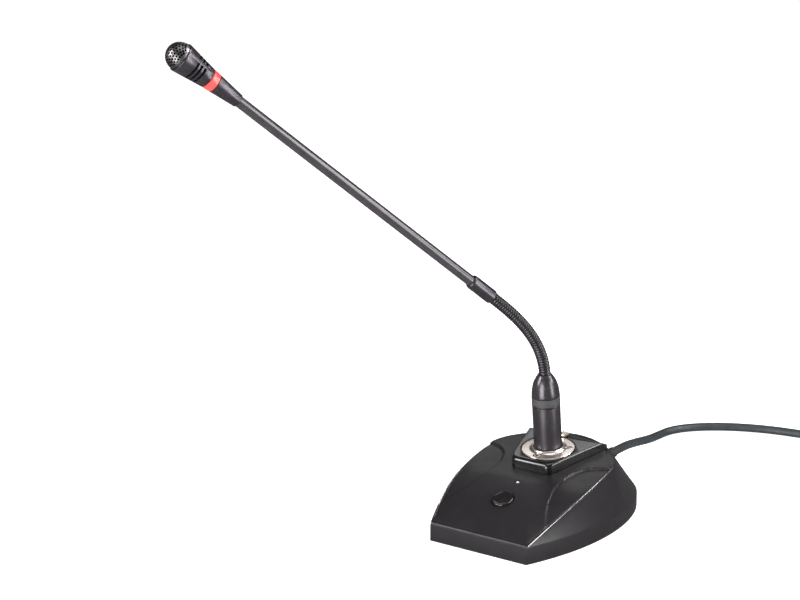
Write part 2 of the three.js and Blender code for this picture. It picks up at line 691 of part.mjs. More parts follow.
// A strap round the coil's section, on the side away from the incoming cable.
function addTie(reach, low, high) {
  const thickness = 1;
  const inner = new THREE.Path();
  const outer = new THREE.Shape();
  const trace = (path, grow) => {
    const left = COIL_RADIUS - reach - 0.8 - grow;
    const right = COIL_RADIUS + reach + GAP + grow;
    path.moveTo(left, low - GAP - grow);
    path.lineTo(right, low - GAP - grow);
    path.lineTo(right, high + GAP + grow);
    path.lineTo(left, high + GAP + grow);
    path.closePath();
  };
  trace(inner, 0);
  trace(outer, thickness);
  outer.holes.push(inner);
  const strap = prism(outer, -5, 5).rotateX(Math.PI / 2);
  const tie = add(model, 'cable_tie', strap, looks.rubber(), COIL_CENTRE.x, COIL_CENTRE.y);
  tie.rotation.z = -110 * DEG;
}

// The far end: a three-pin plug lying beside the coil, pointing to the front.
function addCablePlug() {
  const plugFrame = new THREE.Group();
  plugFrame.position.set(COIL_CENTRE.x + TAIL_RADIUS, COIL_CENTRE.y - 4 - GAP, CABLE_PLUG_HEIGHT);
  plugFrame.rotation.x = Math.PI / 2;
  model.add(plugFrame);
  const bootProfile = [
    [0, 0], [3.9, 0], [4.3, 2], [5.6, 14], [6.6, 21], [8.6, 22], [8.6, 25], [7.8, 25], [7.8, 29], [0, 29],
  ];
  add(plugFrame, 'cable_plug_boot', turned(bootProfile, 16), looks.rubber());
  const shell = pipe(SHELL_RADIUS, SHELL_BORE, 25.3, 72);
  add(plugFrame, 'cable_plug_shell', shell, looks.nickel());
  add(plugFrame, 'cable_plug_insert', toGeometry(plugInsert(46)), looks.insert());
  const pinProfile = [[0, 42], [PIN_RADIUS, 42], [PIN_RADIUS, 69], [0, 70]];
  PIN_PLACES.forEach(([x, y], index) => {
    add(plugFrame, `cable_plug_pin_${index + 1}`, turned(pinProfile, 10), looks.nickel(), x, y);
  });
}

addBase();
addSocket();
addPanel();
addPlug();
addNeck();
addBoom();
addCable();

export default model;
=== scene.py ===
"""Gooseneck podium microphone: the looks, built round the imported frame.

Lengths are millimetres until a mesh is made, and the row frame has +Z up and +Y to the rear.
"""

import json
import math

import bmesh
import bpy
import numpy as np
from mathutils import Matrix, Vector


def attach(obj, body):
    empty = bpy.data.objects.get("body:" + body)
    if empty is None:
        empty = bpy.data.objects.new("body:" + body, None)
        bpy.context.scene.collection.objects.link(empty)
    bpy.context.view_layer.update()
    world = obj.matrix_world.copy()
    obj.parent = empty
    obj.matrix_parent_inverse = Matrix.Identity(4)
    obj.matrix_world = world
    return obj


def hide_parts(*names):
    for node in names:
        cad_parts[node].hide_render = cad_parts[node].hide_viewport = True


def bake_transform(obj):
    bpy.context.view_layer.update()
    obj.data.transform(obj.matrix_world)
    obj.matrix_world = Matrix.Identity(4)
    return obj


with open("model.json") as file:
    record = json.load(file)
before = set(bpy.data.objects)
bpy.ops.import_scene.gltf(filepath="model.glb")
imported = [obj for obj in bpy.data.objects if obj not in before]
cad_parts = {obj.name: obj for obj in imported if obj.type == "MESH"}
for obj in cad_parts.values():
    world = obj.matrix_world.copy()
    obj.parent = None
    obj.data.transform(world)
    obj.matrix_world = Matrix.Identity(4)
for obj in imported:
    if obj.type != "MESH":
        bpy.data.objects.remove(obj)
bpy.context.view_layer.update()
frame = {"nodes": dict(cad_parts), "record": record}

MM = 0.001
GAP = 0.3
FLOOR = -1.5

# ---------------------------------------------------------------- driving dimensions

HALF_LENGTH = 81
FRONT_HALF_WIDTH = 37.3
HALF_WIDTH = 54.6
RIM_HEIGHT = 11.2
RIM_FALL = 3
COVER_BOTTOM = -1
WALL = 2.2
PLATE_BOTTOM = 0.8
PLATE_TOP = 2.3
FEET = [(28, -70), (-28, -70), (34, 48), (-34, 48)]
POSTS = [(30, -55), (-30, -55), (38, 30), (-38, 30)]
TOP_CENTRE = np.array([0.0, -20.0])

BEAD_RADIUS = 0.36
BEAD_SINK = 0.42

SOCKET_CENTRE = (0, 5, 46.6)
SOCKET_TILT = math.radians(6.5)
FLANGE_RADIUS = 18
SOCKET_RADIUS = 11.9
SCREW_CIRCLE = 14.2
SCREW_ANGLES = [27, 147, 267]
PIN_CIRCLE = 4.1
PIN_ANGLES = [-150, -30, 90]
PANEL_POINT = (0, -51.3, 27.3)
PANEL_TILT = math.radians(21)
CAP_RADIUS = 7.4
LAMP_OFFSET = 19.2
BOARD_TOP = -8.5

SHELL_RADIUS = 9.5
SHELL_BORE = 8.2
NOSE_START = 32.1
NOSE_TOP = 54
BAND_TOP = 38.6
LEAN_DIRECTION = math.radians(-126.75)
FULL_BEND = math.radians(44.95)
EASE_LENGTH = 76
NECK_LENGTH = 71.5
NECK_RADIUS = 4
LINK_COUNT = 8
LINK_GAP = 1.1

FERRULE_RADIUS = 4.85
FERRULE_END = 20
TUBE_RADIUS = 3.6
TUBE_BORE = 2.4
TUBE_START = 5.8
TUBE_END = 229
CONE_START = 223
RING_START = 242
RING_END = 247
BARREL_END = 269.3
GRILLE_RADIUS = 9
GRILLE_HEIGHT = 9.2
SLOT_STATIONS = [254.2, 257.1, 260]
SLOT_WIDTH = 1.5
SLOT_ARC = 105
SLOT_ANGLES = [69.5, 189.5, 309.5]
HEAD_TILT = math.radians(0.4)

CABLE_RADIUS = 3
GLAND_HEIGHT = 17.5
GLAND_START = 62
GLAND_END = 93
GLAND_RADIUS = 4.8
COIL_CENTRE = (155, 204)
COIL_RADIUS = 35
COIL_PITCH = 6.1
COIL_COLUMNS = 3
COIL_LAYERS = 4
COIL_FIRST = 2.9
TAIL_RADIUS = 50
CABLE_PLUG_HEIGHT = FLOOR + SHELL_RADIUS
CABLE_ROUTE = [
    (0, 93.3, 17.4), (-1.3, 104, 16.5), (-3.2, 117, 14.8), (-5.4, 131, 12.1), (-7.9, 148, 8.4),
    (-10.6, 166, 4.5), (-12.4, 182, 2.2), (-11.2, 196, 1.7), (-5, 209, 1.6), (7, 221, 1.6),
    (24, 232, 1.6), (45, 240.5, 1.6), (70, 245.5, 1.7), (100, 247, 2.2), (130.5, 245.3, 2.9),
]


def neck_place(distance):
    """The neck's centreline in the stem's frame, and its lean there."""
    steps = 60
    step = distance / steps
    across, up = 0, NOSE_TOP
    for index in range(steps):
        lean = neck_lean((index + 0.5) * step)
        across += step * math.sin(lean)
        up += step * math.cos(lean)
    return Vector((across, 0, up)), neck_lean(distance)


def neck_lean(distance):
    """The neck bends most where it leaves the stem and straightens towards the boom."""
    return FULL_BEND * (1 - (1 - distance / EASE_LENGTH) ** 2)


def turn(angle, axis):
    return Matrix.Rotation(angle, 4, axis)


ROW = Matrix.Identity(4)
SOCKET = Matrix.Translation(SOCKET_CENTRE) @ turn(SOCKET_TILT, "X")
PANEL = Matrix.Translation(PANEL_POINT) @ turn(PANEL_TILT, "X")
STEM = SOCKET @ turn(LEAN_DIRECTION, "Z")
BOOM = STEM @ Matrix.Translation(neck_place(NECK_LENGTH)[0]) @ turn(neck_lean(NECK_LENGTH), "Y")
HEAD = (
    BOOM @ Matrix.Translation((0, 0, CONE_START)) @ turn(HEAD_TILT, "Y")
    @ Matrix.Translation((0, 0, -CONE_START))
)
GLAND = Matrix.Translation((0, 0, GLAND_HEIGHT)) @ turn(-math.pi / 2, "X")
CABLE_PLUG = (
    Matrix.Translation((COIL_CENTRE[0] + TAIL_RADIUS, COIL_CENTRE[1] - 4 - GAP, CABLE_PLUG_HEIGHT))
    @ turn(math.pi / 2, "X")
)

# ---------------------------------------------------------------- camera


def add_camera():
    """A long lens from the front right, a little above the base."""
    right = Vector((0.819, 0.573, 0)).normalized()
    back = Vector((0.551, -0.787, 0.276)).normalized()
    up = back.cross(right)
    data = bpy.data.cameras.new("camera")
    data.lens = 108
    data.sensor_width = 36
    camera = bpy.data.objects.new("camera", data)
    turned = Matrix((right, up, back)).transposed().to_4x4()
    camera.matrix_world = Matrix.Translation((0.7928, -1.3017, 0.5882)) @ turned
    bpy.context.scene.collection.objects.link(camera)
    bpy.context.scene.camera = camera


add_camera()

# ---------------------------------------------------------------- mesh helpers


def metres(place):
    """A placing matrix with its millimetres turned into metres."""
    moved = place.copy()
    moved.translation = place.translation * MM
    return moved


def shade(mesh, sharp):
    mesh.shade_smooth()
    mesh.set_sharp_from_angle(angle=math.radians(sharp))


def solid(name, verts, faces, place=ROW):
    """A mesh object from millimetre points, with merged vertices and outward faces."""
    mesh = bpy.data.meshes.new(name)
    mesh.from_pydata([[c * MM for c in v] for v in verts], [], faces)
    work = bmesh.new()
    work.from_mesh(mesh)
    bmesh.ops.remove_doubles(work, verts=work.verts, dist=1e-7)
    bmesh.ops.recalc_face_normals(work, faces=work.faces)
    work.to_mesh(mesh)
    work.free()
    obj = bpy.data.objects.new(name, mesh)
    bpy.context.scene.collection.objects.link(obj)
    obj.matrix_world = metres(place)
    return obj


def apply_modifiers(obj):
    bpy.context.view_layer.update()
    graph = bpy.context.evaluated_depsgraph_get()
    made = bpy.data.meshes.new_from_object(obj.evaluated_get(graph))
    obj.modifiers.clear()
    obj.data = made


def combine(obj, others, operation="DIFFERENCE"):
    """Cuts the other solids out of obj, or joins them to it, and removes them."""
    for other in others:
        modifier = obj.modifiers.new("combine", "BOOLEAN")
        modifier.operation = operation
        modifier.solver = "EXACT"
        modifier.object = other
    apply_modifiers(obj)
    for other in others:
        bpy.data.objects.remove(other)
    return obj


def bevel(obj, width, segments=2, angle=35):
    modifier = obj.modifiers.new("bevel", "BEVEL")
    modifier.width = width * MM
    modifier.segments = segments
    modifier.limit_method = "ANGLE"
    modifier.angle_limit = math.radians(angle)
    apply_modifiers(obj)
    return obj


def finished(obj, look, body, slot, *nodes, sharp=35):
    """Gives the piece its material and shading, hangs it on the body it rides on and hides the imported nodes
    it stands for.
    """
    obj.data.materials.clear()
    obj.data.materials.append(look)
    shade(obj.data, sharp)
    if body:
        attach(obj, body)
    if nodes:
        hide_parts(*nodes)
    return obj


def corner_curve(before, corner, after, reach, steps):
    """Points that round off the corner, starting at most that far before it."""
    before, after = np.array(before, float) - corner, np.array(after, float) - corner
    reach = min(reach, 0.45 * np.hypot(*before), 0.45 * np.hypot(*after))
    start = corner + before / np.hypot(*before) * reach
    end = corner + after / np.hypot(*after) * reach
    return [
        tuple((1 - t) ** 2 * start + 2 * t * (1 - t) * corner + t * t * end)
        for t in (step / steps for step in range(steps + 1))
    ]


def softened(profile, radius, steps=3):
    """The profile with its corners rounded. A point's third number is its own corner radius."""
    hollow = profile[0][0] > 0
    out = []
    for index, point in enumerate(profile):
        corner = np.array(point[:2], float)
        reach = point[2] if len(point) > 2 else radius
        if reach == 0 or (not hollow and index in (0, len(profile) - 1)):
            out.append(tuple(corner))
            continue
        after = profile[(index + 1) % len(profile)]
        out += corner_curve(profile[index - 1][:2], corner, after[:2], reach, steps)
    return out


def lathe(profile, segments=72):
    """Vertices and faces of the profile turned about Z. A profile off the axis closes on itself."""
    verts, rings = [], []
    for radius, height in profile:
        first = len(verts)
        if radius < 1e-6:
            verts.append((0, 0, height))
            rings.append([first])
            continue
        for step in range(segments):
            angle = 2 * math.pi * step / segments
            verts.append((radius * math.cos(angle), radius * math.sin(angle), height))
        rings.append(list(range(first, len(verts))))
    pairs = list(zip(rings, rings[1:]))
    if profile[0][0] > 1e-6:
        pairs.append((rings[-1], rings[0]))
    faces = []
    for low, high in pairs:
        for step in range(segments if len(low) + len(high) > 2 else 0):
            a, b = low[step % len(low)], low[(step + 1) % len(low)]
            c, d = high[(step + 1) % len(high)], high[step % len(high)]
            faces.append(list(dict.fromkeys((a, b, c, d))))
    return verts, faces


def turned(name, profile, place, soften=0.25, segments=72):
    return solid(name, *lathe(softened(profile, soften) if soften else profile, segments), place)


def rod(radius, bottom, top, place, segments=48):
    return turned("rod", [(0, bottom), (radius, bottom), (radius, top), (0, top)], place, 0, segments)


def prism(outline, bottom, top, place=ROW, name="prism"):
    """A closed outline in plan, drawn up from bottom to top."""
    count = len(outline)
    verts = [(x, y, bottom) for x, y in outline] + [(x, y, top) for x, y in outline]
    faces = [list(range(count - 1, -1, -1)), list(range(count, 2 * count))]
    for index in range(count):
        after = (index + 1) % count
        faces.append([index, after, count + after, count + index])
    return solid(name, verts, faces, place)


def block(width, depth, bottom, top, place=ROW, x=0, y=0, name="block"):
    half, deep = width / 2, depth / 2
    outline = [(x - half, y - deep), (x + half, y - deep), (x + half, y + deep), (x - half, y + deep)]
    return prism(outline, bottom, top, place, name)


def about(radius, angle, place):
    """The placing matrix at that polar place in the plane of another."""
    a = math.radians(angle)
    return place @ Matrix.Translation((radius * math.cos(a), radius * math.sin(a), 0))


def tube(name, points, radius, sides=16):
    """A round closed tube along the points, with a section that doesn't twist."""
    path = np.array(points, float)
    tangents = np.gradient(path, axis=0)
    tangents /= np.linalg.norm(tangents, axis=1)[:, None]
    side = np.cross(tangents[0], (0, 0, 1))
    verts, faces = [], []
    for place, tangent in zip(path, tangents):
        side = side - tangent * (side @ tangent)
        side /= np.linalg.norm(side)
        up = np.cross(side, tangent)
        for step in range(sides):
            angle = 2 * math.pi * step / sides
            verts.append(place + radius * (math.cos(angle) * side + math.sin(angle) * up))
    for ring in range(len(path) - 1):
        for step in range(sides):
            a, b = ring * sides + step, ring * sides + (step + 1) % sides
            faces.append([a, b, b + sides, a + sides])
    faces.append(list(range(sides)))
    faces.append(list(range(len(verts) - sides, len(verts))))
    return solid(name, verts, faces)


def smoothstep(low, high, value):
    t = np.clip((value - low) / (high - low), 0, 1)
    return t * t * (3 - 2 * t)


def bezier(values, count):
    a, b, c, d = (np.array(v, float) for v in values)
    t = np.linspace(0, 1, count + 1)[:, None]
    return (1 - t) ** 3 * a + 3 * (1 - t) ** 2 * t * b + 3 * (1 - t) * t * t * c + t ** 3 * d


def through(points, step):
    """A smooth line through the points, with a vertex about every step."""
    p = np.array(points, float)
    p = np.vstack([2 * p[0] - p[1], p, 2 * p[-1] - p[-2]])
    out = []
    for a, b, c, d in zip(p, p[1:], p[2:], p[3:]):
        count = max(2, round(np.linalg.norm(c - b) / step))
        for t in np.arange(count) / count:
            out.append(0.5 * (
                2 * b + (c - a) * t + (2 * a - 5 * b + 4 * c - d) * t * t
                + (3 * b - a - 3 * c + d) * t ** 3
            ))
    out.append(p[-2])
    return np.array(out)


# ---------------------------------------------------------------- materials


class Look:
    """A Principled material whose textures sit in the piece's own coordinates."""

    def __init__(self, name, metallic=0.0, **sockets):
        self.material = bpy.data.materials.new(name)
        self.material.use_nodes = True
        self.tree = self.material.node_tree
        self.shader = self.tree.nodes["Principled BSDF"]
        self.shader.inputs["Metallic"].default_value = metallic
        for socket, value in sockets.items():
            self.shader.inputs[socket.replace("_", " ").title().replace("Ior", "IOR")].default_value = value
        self.where = self.node("ShaderNodeTexCoord").outputs["Object"]

    def node(self, kind, **inputs):
        made = self.tree.nodes.new(kind)
        for socket, value in inputs.items():
            made.inputs[socket].default_value = value
        return made

    def link(self, output, target):
        self.tree.links.new(output, target)

    def noise(self, size, detail=3.0, where=None):
        """Noise from 0 to 1 whose blobs are about that many millimetres across."""
        made = self.node("ShaderNodeTexNoise", Scale=1 / (size * MM), Detail=detail)
        self.link(where or self.where, made.inputs["Vector"])
        return made.outputs["Fac"]

    def stretched(self, x, y, z):
        made = self.node("ShaderNodeMapping", Scale=(x, y, z))
        self.link(self.where, made.inputs["Vector"])
        return made.outputs["Vector"]

    def lathe_marks(self):
        """Coordinates that are the same all round the piece's axis, for turned metal."""
        split = self.node("ShaderNodeSeparateXYZ")
        self.link(self.where, split.inputs["Vector"])
        flat = self.node("ShaderNodeCombineXYZ")
        self.link(split.outputs["X"], flat.inputs["X"])
        self.link(split.outputs["Y"], flat.inputs["Y"])
        length = self.node("ShaderNodeVectorMath")
        length.operation = "LENGTH"
        self.link(flat.outputs["Vector"], length.inputs[0])
        made = self.node("ShaderNodeCombineXYZ")
        self.link(length.outputs["Value"], made.inputs["X"])
        self.link(split.outputs["Z"], made.inputs["Y"])
        return made.outputs["Vector"]

    def colour(self, factor, dark, light, low=0.3, high=0.7):
        ramp = self.node("ShaderNodeValToRGB")
        ramp.color_ramp.elements[0].position = low
        ramp.color_ramp.elements[0].color = (*dark, 1)
        ramp.color_ramp.elements[1].position = high
        ramp.color_ramp.elements[1].color = (*light, 1)
        self.link(factor, ramp.inputs["Fac"])
        self.link(ramp.outputs["Color"], self.shader.inputs["Base Color"])
        return self

    def roughness(self, factor, smooth, rough):
        spread = self.node("ShaderNodeMapRange")
        for socket, value in zip(("From Min", "From Max", "To Min", "To Max"), (0.3, 0.7, smooth, rough)):
            spread.inputs[socket].default_value = value
        self.link(factor, spread.inputs["Value"])
        self.link(spread.outputs["Result"], self.shader.inputs["Roughness"])
        return self

    def bump(self, height, strength, depth):
        """Small relief, depth in millimetres."""
        made = self.node("ShaderNodeBump", Strength=strength, Distance=depth * MM)
        self.link(height, made.inputs["Height"])
        before = self.shader.inputs["Normal"].links
        if before:
            self.link(before[0].from_socket, made.inputs["Normal"])
        self.link(made.outputs["Normal"], self.shader.inputs["Normal"])
        return self


def moulded(name, dark, light, smooth, rough, grain=0.35, relief=0.03, wave=0.15, **sockets):
    """Moulded plastic: a fine spark-eroded texture and faint broad unevenness."""
    look = Look(name, **sockets)
    look.colour(look.noise(9), dark, light)
    look.roughness(look.noise(grain * 4), smooth, rough)
    look.bump(look.noise(grain, 2), 0.35, relief)
    look.bump(look.noise(18, 1), 0.15, wave)
    return look.material


def machined(name, dark, light, smooth, rough, metallic=1.0, mark=0.12, relief=0.01, **sockets):
    """Turned metal: fine rings about the axis, with slight colour and gloss changes."""
    look = Look(name, metallic, **sockets)
    marks = look.lathe_marks()
    look.colour(look.noise(6), dark, light)
    look.roughness(look.noise(mark * 3, 4, marks), smooth, rough)
    look.bump(look.noise(mark, 2, marks), 0.4, relief)
    return look.material


def rubber(name, dark, light, smooth=0.55, rough=0.75, grain=0.5, relief=0.04, **sockets):
    look = Look(name, **sockets)
    look.colour(look.noise(5), dark, light)
    look.roughness(look.noise(grain * 3), smooth, rough)
    look.bump(look.noise(grain, 4), 0.5, relief)
    return look.material


def brushed(name, dark, light, smooth, rough, along=(1, 1, 0.03), **sockets):
    """Metal with fine lines drawn along one direction."""
    look = Look(name, 1.0, **sockets)
    lines = look.stretched(*along)
    look.colour(look.noise(5), dark, light)
    look.roughness(look.noise(0.3, 4, lines), smooth, rough)
    look.bump(look.noise(0.25, 3, lines), 0.4, 0.01)
    return look.material


LOOKS = {
    "cover": moulded(
        "matt_black_abs", (0.0092, 0.0078, 0.0092), (0.0122, 0.0103, 0.0118), 0.36, 0.44,
        specular_ior_level=0.42,
    ),
    "housing": moulded(
        "gloss_black_abs", (0.004, 0.0037, 0.004), (0.006, 0.0056, 0.006), 0.2, 0.26, 0.5, 0.002, 0.01,
        coat_weight=0.3, coat_roughness=0.1,
    ),
    "button": moulded("button_black", (0.008, 0.0074, 0.008), (0.011, 0.0102, 0.011), 0.14, 0.2, 0.3, 0.01),
    "flange": machined("champagne_nickel", (0.76, 0.68, 0.62), (0.86, 0.79, 0.73), 0.24, 0.34),
    "plug_metal": machined(
        "satin_black_metal", (0.035, 0.031, 0.035), (0.05, 0.045, 0.05), 0.3, 0.38, 0.6, 0.2, 0.005
    ),
    "nose_metal": machined(
        "semi_gloss_black", (0.052, 0.047, 0.053), (0.07, 0.064, 0.072), 0.22, 0.29, 0.7, 0.2, 0.002
    ),
    "tube": machined("boom_black", (0.042, 0.038, 0.043), (0.055, 0.05, 0.056), 0.16, 0.22, 0.35, 0.3, 0.002),
    "neck": machined("neck_black", (0.028, 0.025, 0.029), (0.042, 0.038, 0.043), 0.14, 0.2, 0.6, 0.3, 0.002),
    "head": machined(
        "satin_dark_metal", (0.06, 0.054, 0.062), (0.08, 0.072, 0.084), 0.28, 0.35, 0.8, 0.15, 0.003
    ),
    # The crease bead's light grey metal is a painted highlight: it stands in for the light along the cover's
    # crease edge.
    "bead": machined("painted_highlight_metal", (0.3, 0.29, 0.3), (0.42, 0.41, 0.42), 0.24, 0.3),
    "grille": machined("dark_nickel", (0.15, 0.142, 0.148), (0.21, 0.2, 0.207), 0.3, 0.4),
    "cloth": rubber(
        "black_cloth", (0.002, 0.002, 0.002), (0.004, 0.004, 0.004), 0.8, 0.95, 0.4, 0.05,
        specular_ior_level=0.1,
    ),
    "capsule": brushed("capsule_alloy", (0.2, 0.2, 0.2), (0.3, 0.3, 0.3), 0.35, 0.5),
    "contact": machined("gold_plate", (0.72, 0.53, 0.24), (0.85, 0.66, 0.33), 0.18, 0.28),
    "cable_plug": machined("bright_nickel", (0.58, 0.58, 0.58), (0.7, 0.7, 0.69), 0.2, 0.3),
    "steel_screw": machined("zinc_plate", (0.42, 0.42, 0.43), (0.55, 0.55, 0.56), 0.25, 0.42),
    "plate": moulded(
        "painted_steel", (0.02, 0.02, 0.021), (0.03, 0.03, 0.031), 0.42, 0.6, 0.6, 0.03, metallic=0.3
    ),
    "weight": moulded(
        "cast_iron", (0.06, 0.06, 0.062), (0.11, 0.105, 0.1), 0.55, 0.8, 0.8, 0.12, metallic=0.8
    ),
    "insert": moulded("insert_nylon", (0.016, 0.016, 0.017), (0.022, 0.022, 0.023), 0.4, 0.5),
    "switch": moulded("switch_black", (0.02, 0.02, 0.02), (0.03, 0.03, 0.03), 0.4, 0.5),
    "board": moulded("solder_resist", (0.01, 0.09, 0.03), (0.015, 0.13, 0.045), 0.25, 0.4, 1.5, 0.02),
    "soft_black": rubber("soft_black_rubber", (0.014, 0.014, 0.015), (0.022, 0.022, 0.023)),
    "foot": rubber("foot_rubber", (0.014, 0.014, 0.015), (0.024, 0.024, 0.025), 0.7, 0.9),
    "cable": rubber("cable_jacket", (0.018, 0.023, 0.026), (0.028, 0.035, 0.039), 0.42, 0.54, 1.2, 0.02),
    "band": rubber("band_grey", (0.032, 0.031, 0.031), (0.05, 0.048, 0.048), 0.6, 0.8, 0.25, 0.05),
    "lamp": moulded(
        "clear_lamp", (0.4, 0.39, 0.4), (0.52, 0.51, 0.52), 0.08, 0.14, 1, 0.003,
        emission_color=(1, 1, 1, 1), emission_strength=0.08,
    ),
    "ring": moulded(
        "red_acrylic", (0.74, 0.03, 0.028), (0.84, 0.045, 0.04), 0.26, 0.32, 1.5, 0.0005, 0.001,
        emission_color=(1.0, 0.1, 0.08, 1), emission_strength=0.42, coat_weight=0.3, coat_roughness=0.25,
    ),
}

# ---------------------------------------------------------------- cable, coil and cable plug


def coil_points():
    """Turns wound clockwise from the rear: out to in, up a layer, in to out, and so on."""
    steps = 72
    crossing = 1 / 6
    columns = [COIL_RADIUS + (1 - column) * COIL_PITCH for column in range(COIL_COLUMNS)]
    places = []
    for layer in range(COIL_LAYERS):
        for radius in columns if layer % 2 == 0 else reversed(columns):
            places.append((radius, COIL_FIRST + layer * COIL_PITCH))
    places.append((places[-1][0] + COIL_PITCH, places[-1][1]))
    points = []
    for (radius, height), (next_radius, next_height) in zip(places, places[1:]):
        climbing = next_height > height
        outward = 1 if radius > COIL_RADIUS else -1
        for step in range(steps):
            share = max(0, (step / steps - 1 + crossing) / crossing)
            ease = share * share * (3 - 2 * share)
            swell = 2.4 * outward * math.sin(math.pi * ease) if climbing else 0
            r = radius + (next_radius - radius) * ease + swell
            angle = math.pi / 2 - 2 * math.pi * step / steps
            points.append((
                COIL_CENTRE[0] + r * math.cos(angle),
                COIL_CENTRE[1] + r * math.sin(angle),
                height + (next_height - height) * ease,
            ))
    return points, places[-1]


def tail_points(radius, height):
    """Off the top of the coil, out over its edge and down its side to the plug."""
    leave = math.radians(42)
    points = []
    for step in range(26):
        angle = math.pi / 2 * (1 - step / 25)
        out = smoothstep(0, 1, (math.pi / 2 - angle) / (math.pi / 2 - leave))
        r = radius + (TAIL_RADIUS - radius) * out
        drop = smoothstep(0, 1, (leave - angle) / leave)
        points.append((
            COIL_CENTRE[0] + r * math.cos(angle),
            COIL_CENTRE[1] + r * math.sin(angle),
            height + (CABLE_PLUG_HEIGHT - height) * drop,
        ))
    points.append((COIL_CENTRE[0] + TAIL_RADIUS, COIL_CENTRE[1] - 4, CABLE_PLUG_HEIGHT))
    return points


def make_cable_plug():
    boot = [(0, 0), (3.9, 0)]
    for rib in range(5):
        start = 2.5 + 3.6 * rib
        width = 4.4 + 0.42 * rib
        boot += [
            (width, start), (width + 0.15, start + 2.4),
            (width - 0.7, start + 2.7), (width - 0.7, start + 3.3),
        ]
    boot += [(6.6, 21), (8.6, 22), (8.6, 25), (7.8, 25), (7.8, 29), (0, 29)]
    pieces = [finished(
        turned("cable_plug_boot_moulded", boot, CABLE_PLUG, 0.25), LOOKS["soft_black"], "base", "soft_black",
        "cable_plug_boot",
    )]
    shell = [
        (SHELL_BORE, 25.3), (SHELL_RADIUS, 25.3), (SHELL_RADIUS, 31), (SHELL_RADIUS - 0.3, 31.6),
        (SHELL_RADIUS - 0.3, 32.6), (SHELL_RADIUS, 33.2), (SHELL_RADIUS, 72), (SHELL_BORE, 72),
    ]
    pieces.append(finished(
        turned("cable_plug_shell_turned", shell, CABLE_PLUG, 0.3), LOOKS["cable_plug"], "base", "cable_plug",
        "cable_plug_shell",
    ))
    disc = [(0, 46), (SHELL_BORE - 0.4, 46), (SHELL_BORE - 0.4, 56), (0, 56)]
    pieces.append(finished(
        insert_disc("cable_plug_insert_moulded", disc, CABLE_PLUG), LOOKS["insert"], "base", "insert",
        "cable_plug_insert",
    ))
    for index, angle in enumerate(PIN_ANGLES, 1):
        pin = turned(
            f"cable_plug_pin_turned_{index}", [(0, 42), (1.2, 42), (1.2, 69.2, 0.8), (0, 70)],
            about(PIN_CIRCLE, angle, CABLE_PLUG), 0.3, 32,
        )
        pieces.append(finished(pin, LOOKS["contact"], "base", "cable_plug", f"cable_plug_pin_{index}"))
    return pieces


def insert_disc(name, profile, place):
    """A moulded disc with the three pin holes."""
    disc = turned(name, profile, place, 0.2)
    holes = [rod(1.55, -30, 60, about(PIN_CIRCLE, angle, place), 32) for angle in PIN_ANGLES]
    return combine(disc, holes)


def make_tie():
    """A strap with a buckle round the coil's section."""
    reach = (COIL_COLUMNS - 1) / 2 * COIL_PITCH + CABLE_RADIUS
    low = COIL_FIRST - CABLE_RADIUS - GAP
    high = COIL_FIRST + (COIL_LAYERS - 1) * COIL_PITCH + CABLE_RADIUS + GAP
    left, right = COIL_RADIUS - reach - 0.8, COIL_RADIUS + reach + GAP
    place = Matrix.Translation((*COIL_CENTRE, 0)) @ turn(math.radians(-110), "Z") @ turn(math.pi / 2, "X")
    corners = [(left, low), (right, low), (right, high), (left, high)]
    inner = rounded_outline(corners, 2.4, 5)
    outside = [(left - 1, low - 1), (right + 1, low - 1), (right + 1, high + 1), (left - 1, high + 1)]
    outer = rounded_outline(outside, 3, 5)
    strap = combine(prism(outer, -5, 5, place, "cable_tie_strap"), [prism(inner, -6, 6, place)])
    buckle = rounded_outline([(34, high + 0.4), (40, high + 0.4), (40, high + 2.4), (34, high + 2.4)], 0.6, 3)
    combine(strap, [prism(buckle, -6, 6, place)], "UNION")
    bevel(strap, 0.25)
    return finished(strap, LOOKS["soft_black"], "base", "soft_black", "cable_tie")


def rounded_outline(points, radius, steps=4):
    """A closed outline in plan with every corner rounded."""
    out = []
    for index, point in enumerate(points):
        after = points[(index + 1) % len(points)]
        out += corner_curve(points[index - 1], np.array(point, float), after, radius, steps)
    return out


def make_cable():
    coil_start = (COIL_CENTRE[0], COIL_CENTRE[1] + COIL_RADIUS + COIL_PITCH, COIL_FIRST)
    lead = through([*CABLE_ROUTE, coil_start], 4)
    turns, last = coil_points()
    path = np.vstack([lead[:-1], turns, tail_points(*last)])
    jacket = tube("cable", path, CABLE_RADIUS, 20)
    finished(jacket, LOOKS["cable"], "base", "cable", "cable_tube", "cable_coil", "cable_tail")
    pieces = make_cable_plug() + [make_tie()]


make_cable()

# ---------------------------------------------------------------- base cover


def mirrored(curves, front_steps):
    """Closed outline through the right side's curves, their mirror image and a straight front."""
    right = np.vstack([
        bezier(values, count)[1 if index else 0:] for index, (values, count) in enumerate(curves)
    ])
    left = right[:-1][::-1] * (-1, 1)
    across = np.linspace(0, 1, front_steps + 1)[1:-1, None]
    front = left[-1] + (right[0] - left[-1]) * across
    return np.vstack([right, left, front])


SIDE_STEPS = (52, 70)
RIM = mirrored([
    (((FRONT_HALF_WIDTH, -HALF_LENGTH), (46, -61), (HALF_WIDTH, -36), (HALF_WIDTH, -3)), SIDE_STEPS[0]),
    (((HALF_WIDTH, -3), (HALF_WIDTH, 31), (42, HALF_LENGTH), (0, HALF_LENGTH)), SIDE_STEPS[1]),
], 24)
CREASE = mirrored([
    (((FRONT_HALF_WIDTH, -80.7), (43, -61), (48.8, -39), (48.8, -13)), SIDE_STEPS[0]),
    (((48.8, -13), (48.8, 6), (47.5, 15), (42, 22.5)), 30),
    (((42, 22.5), (34, 33), (18, 45.5), (0, 45.5)), 40),
], 24)


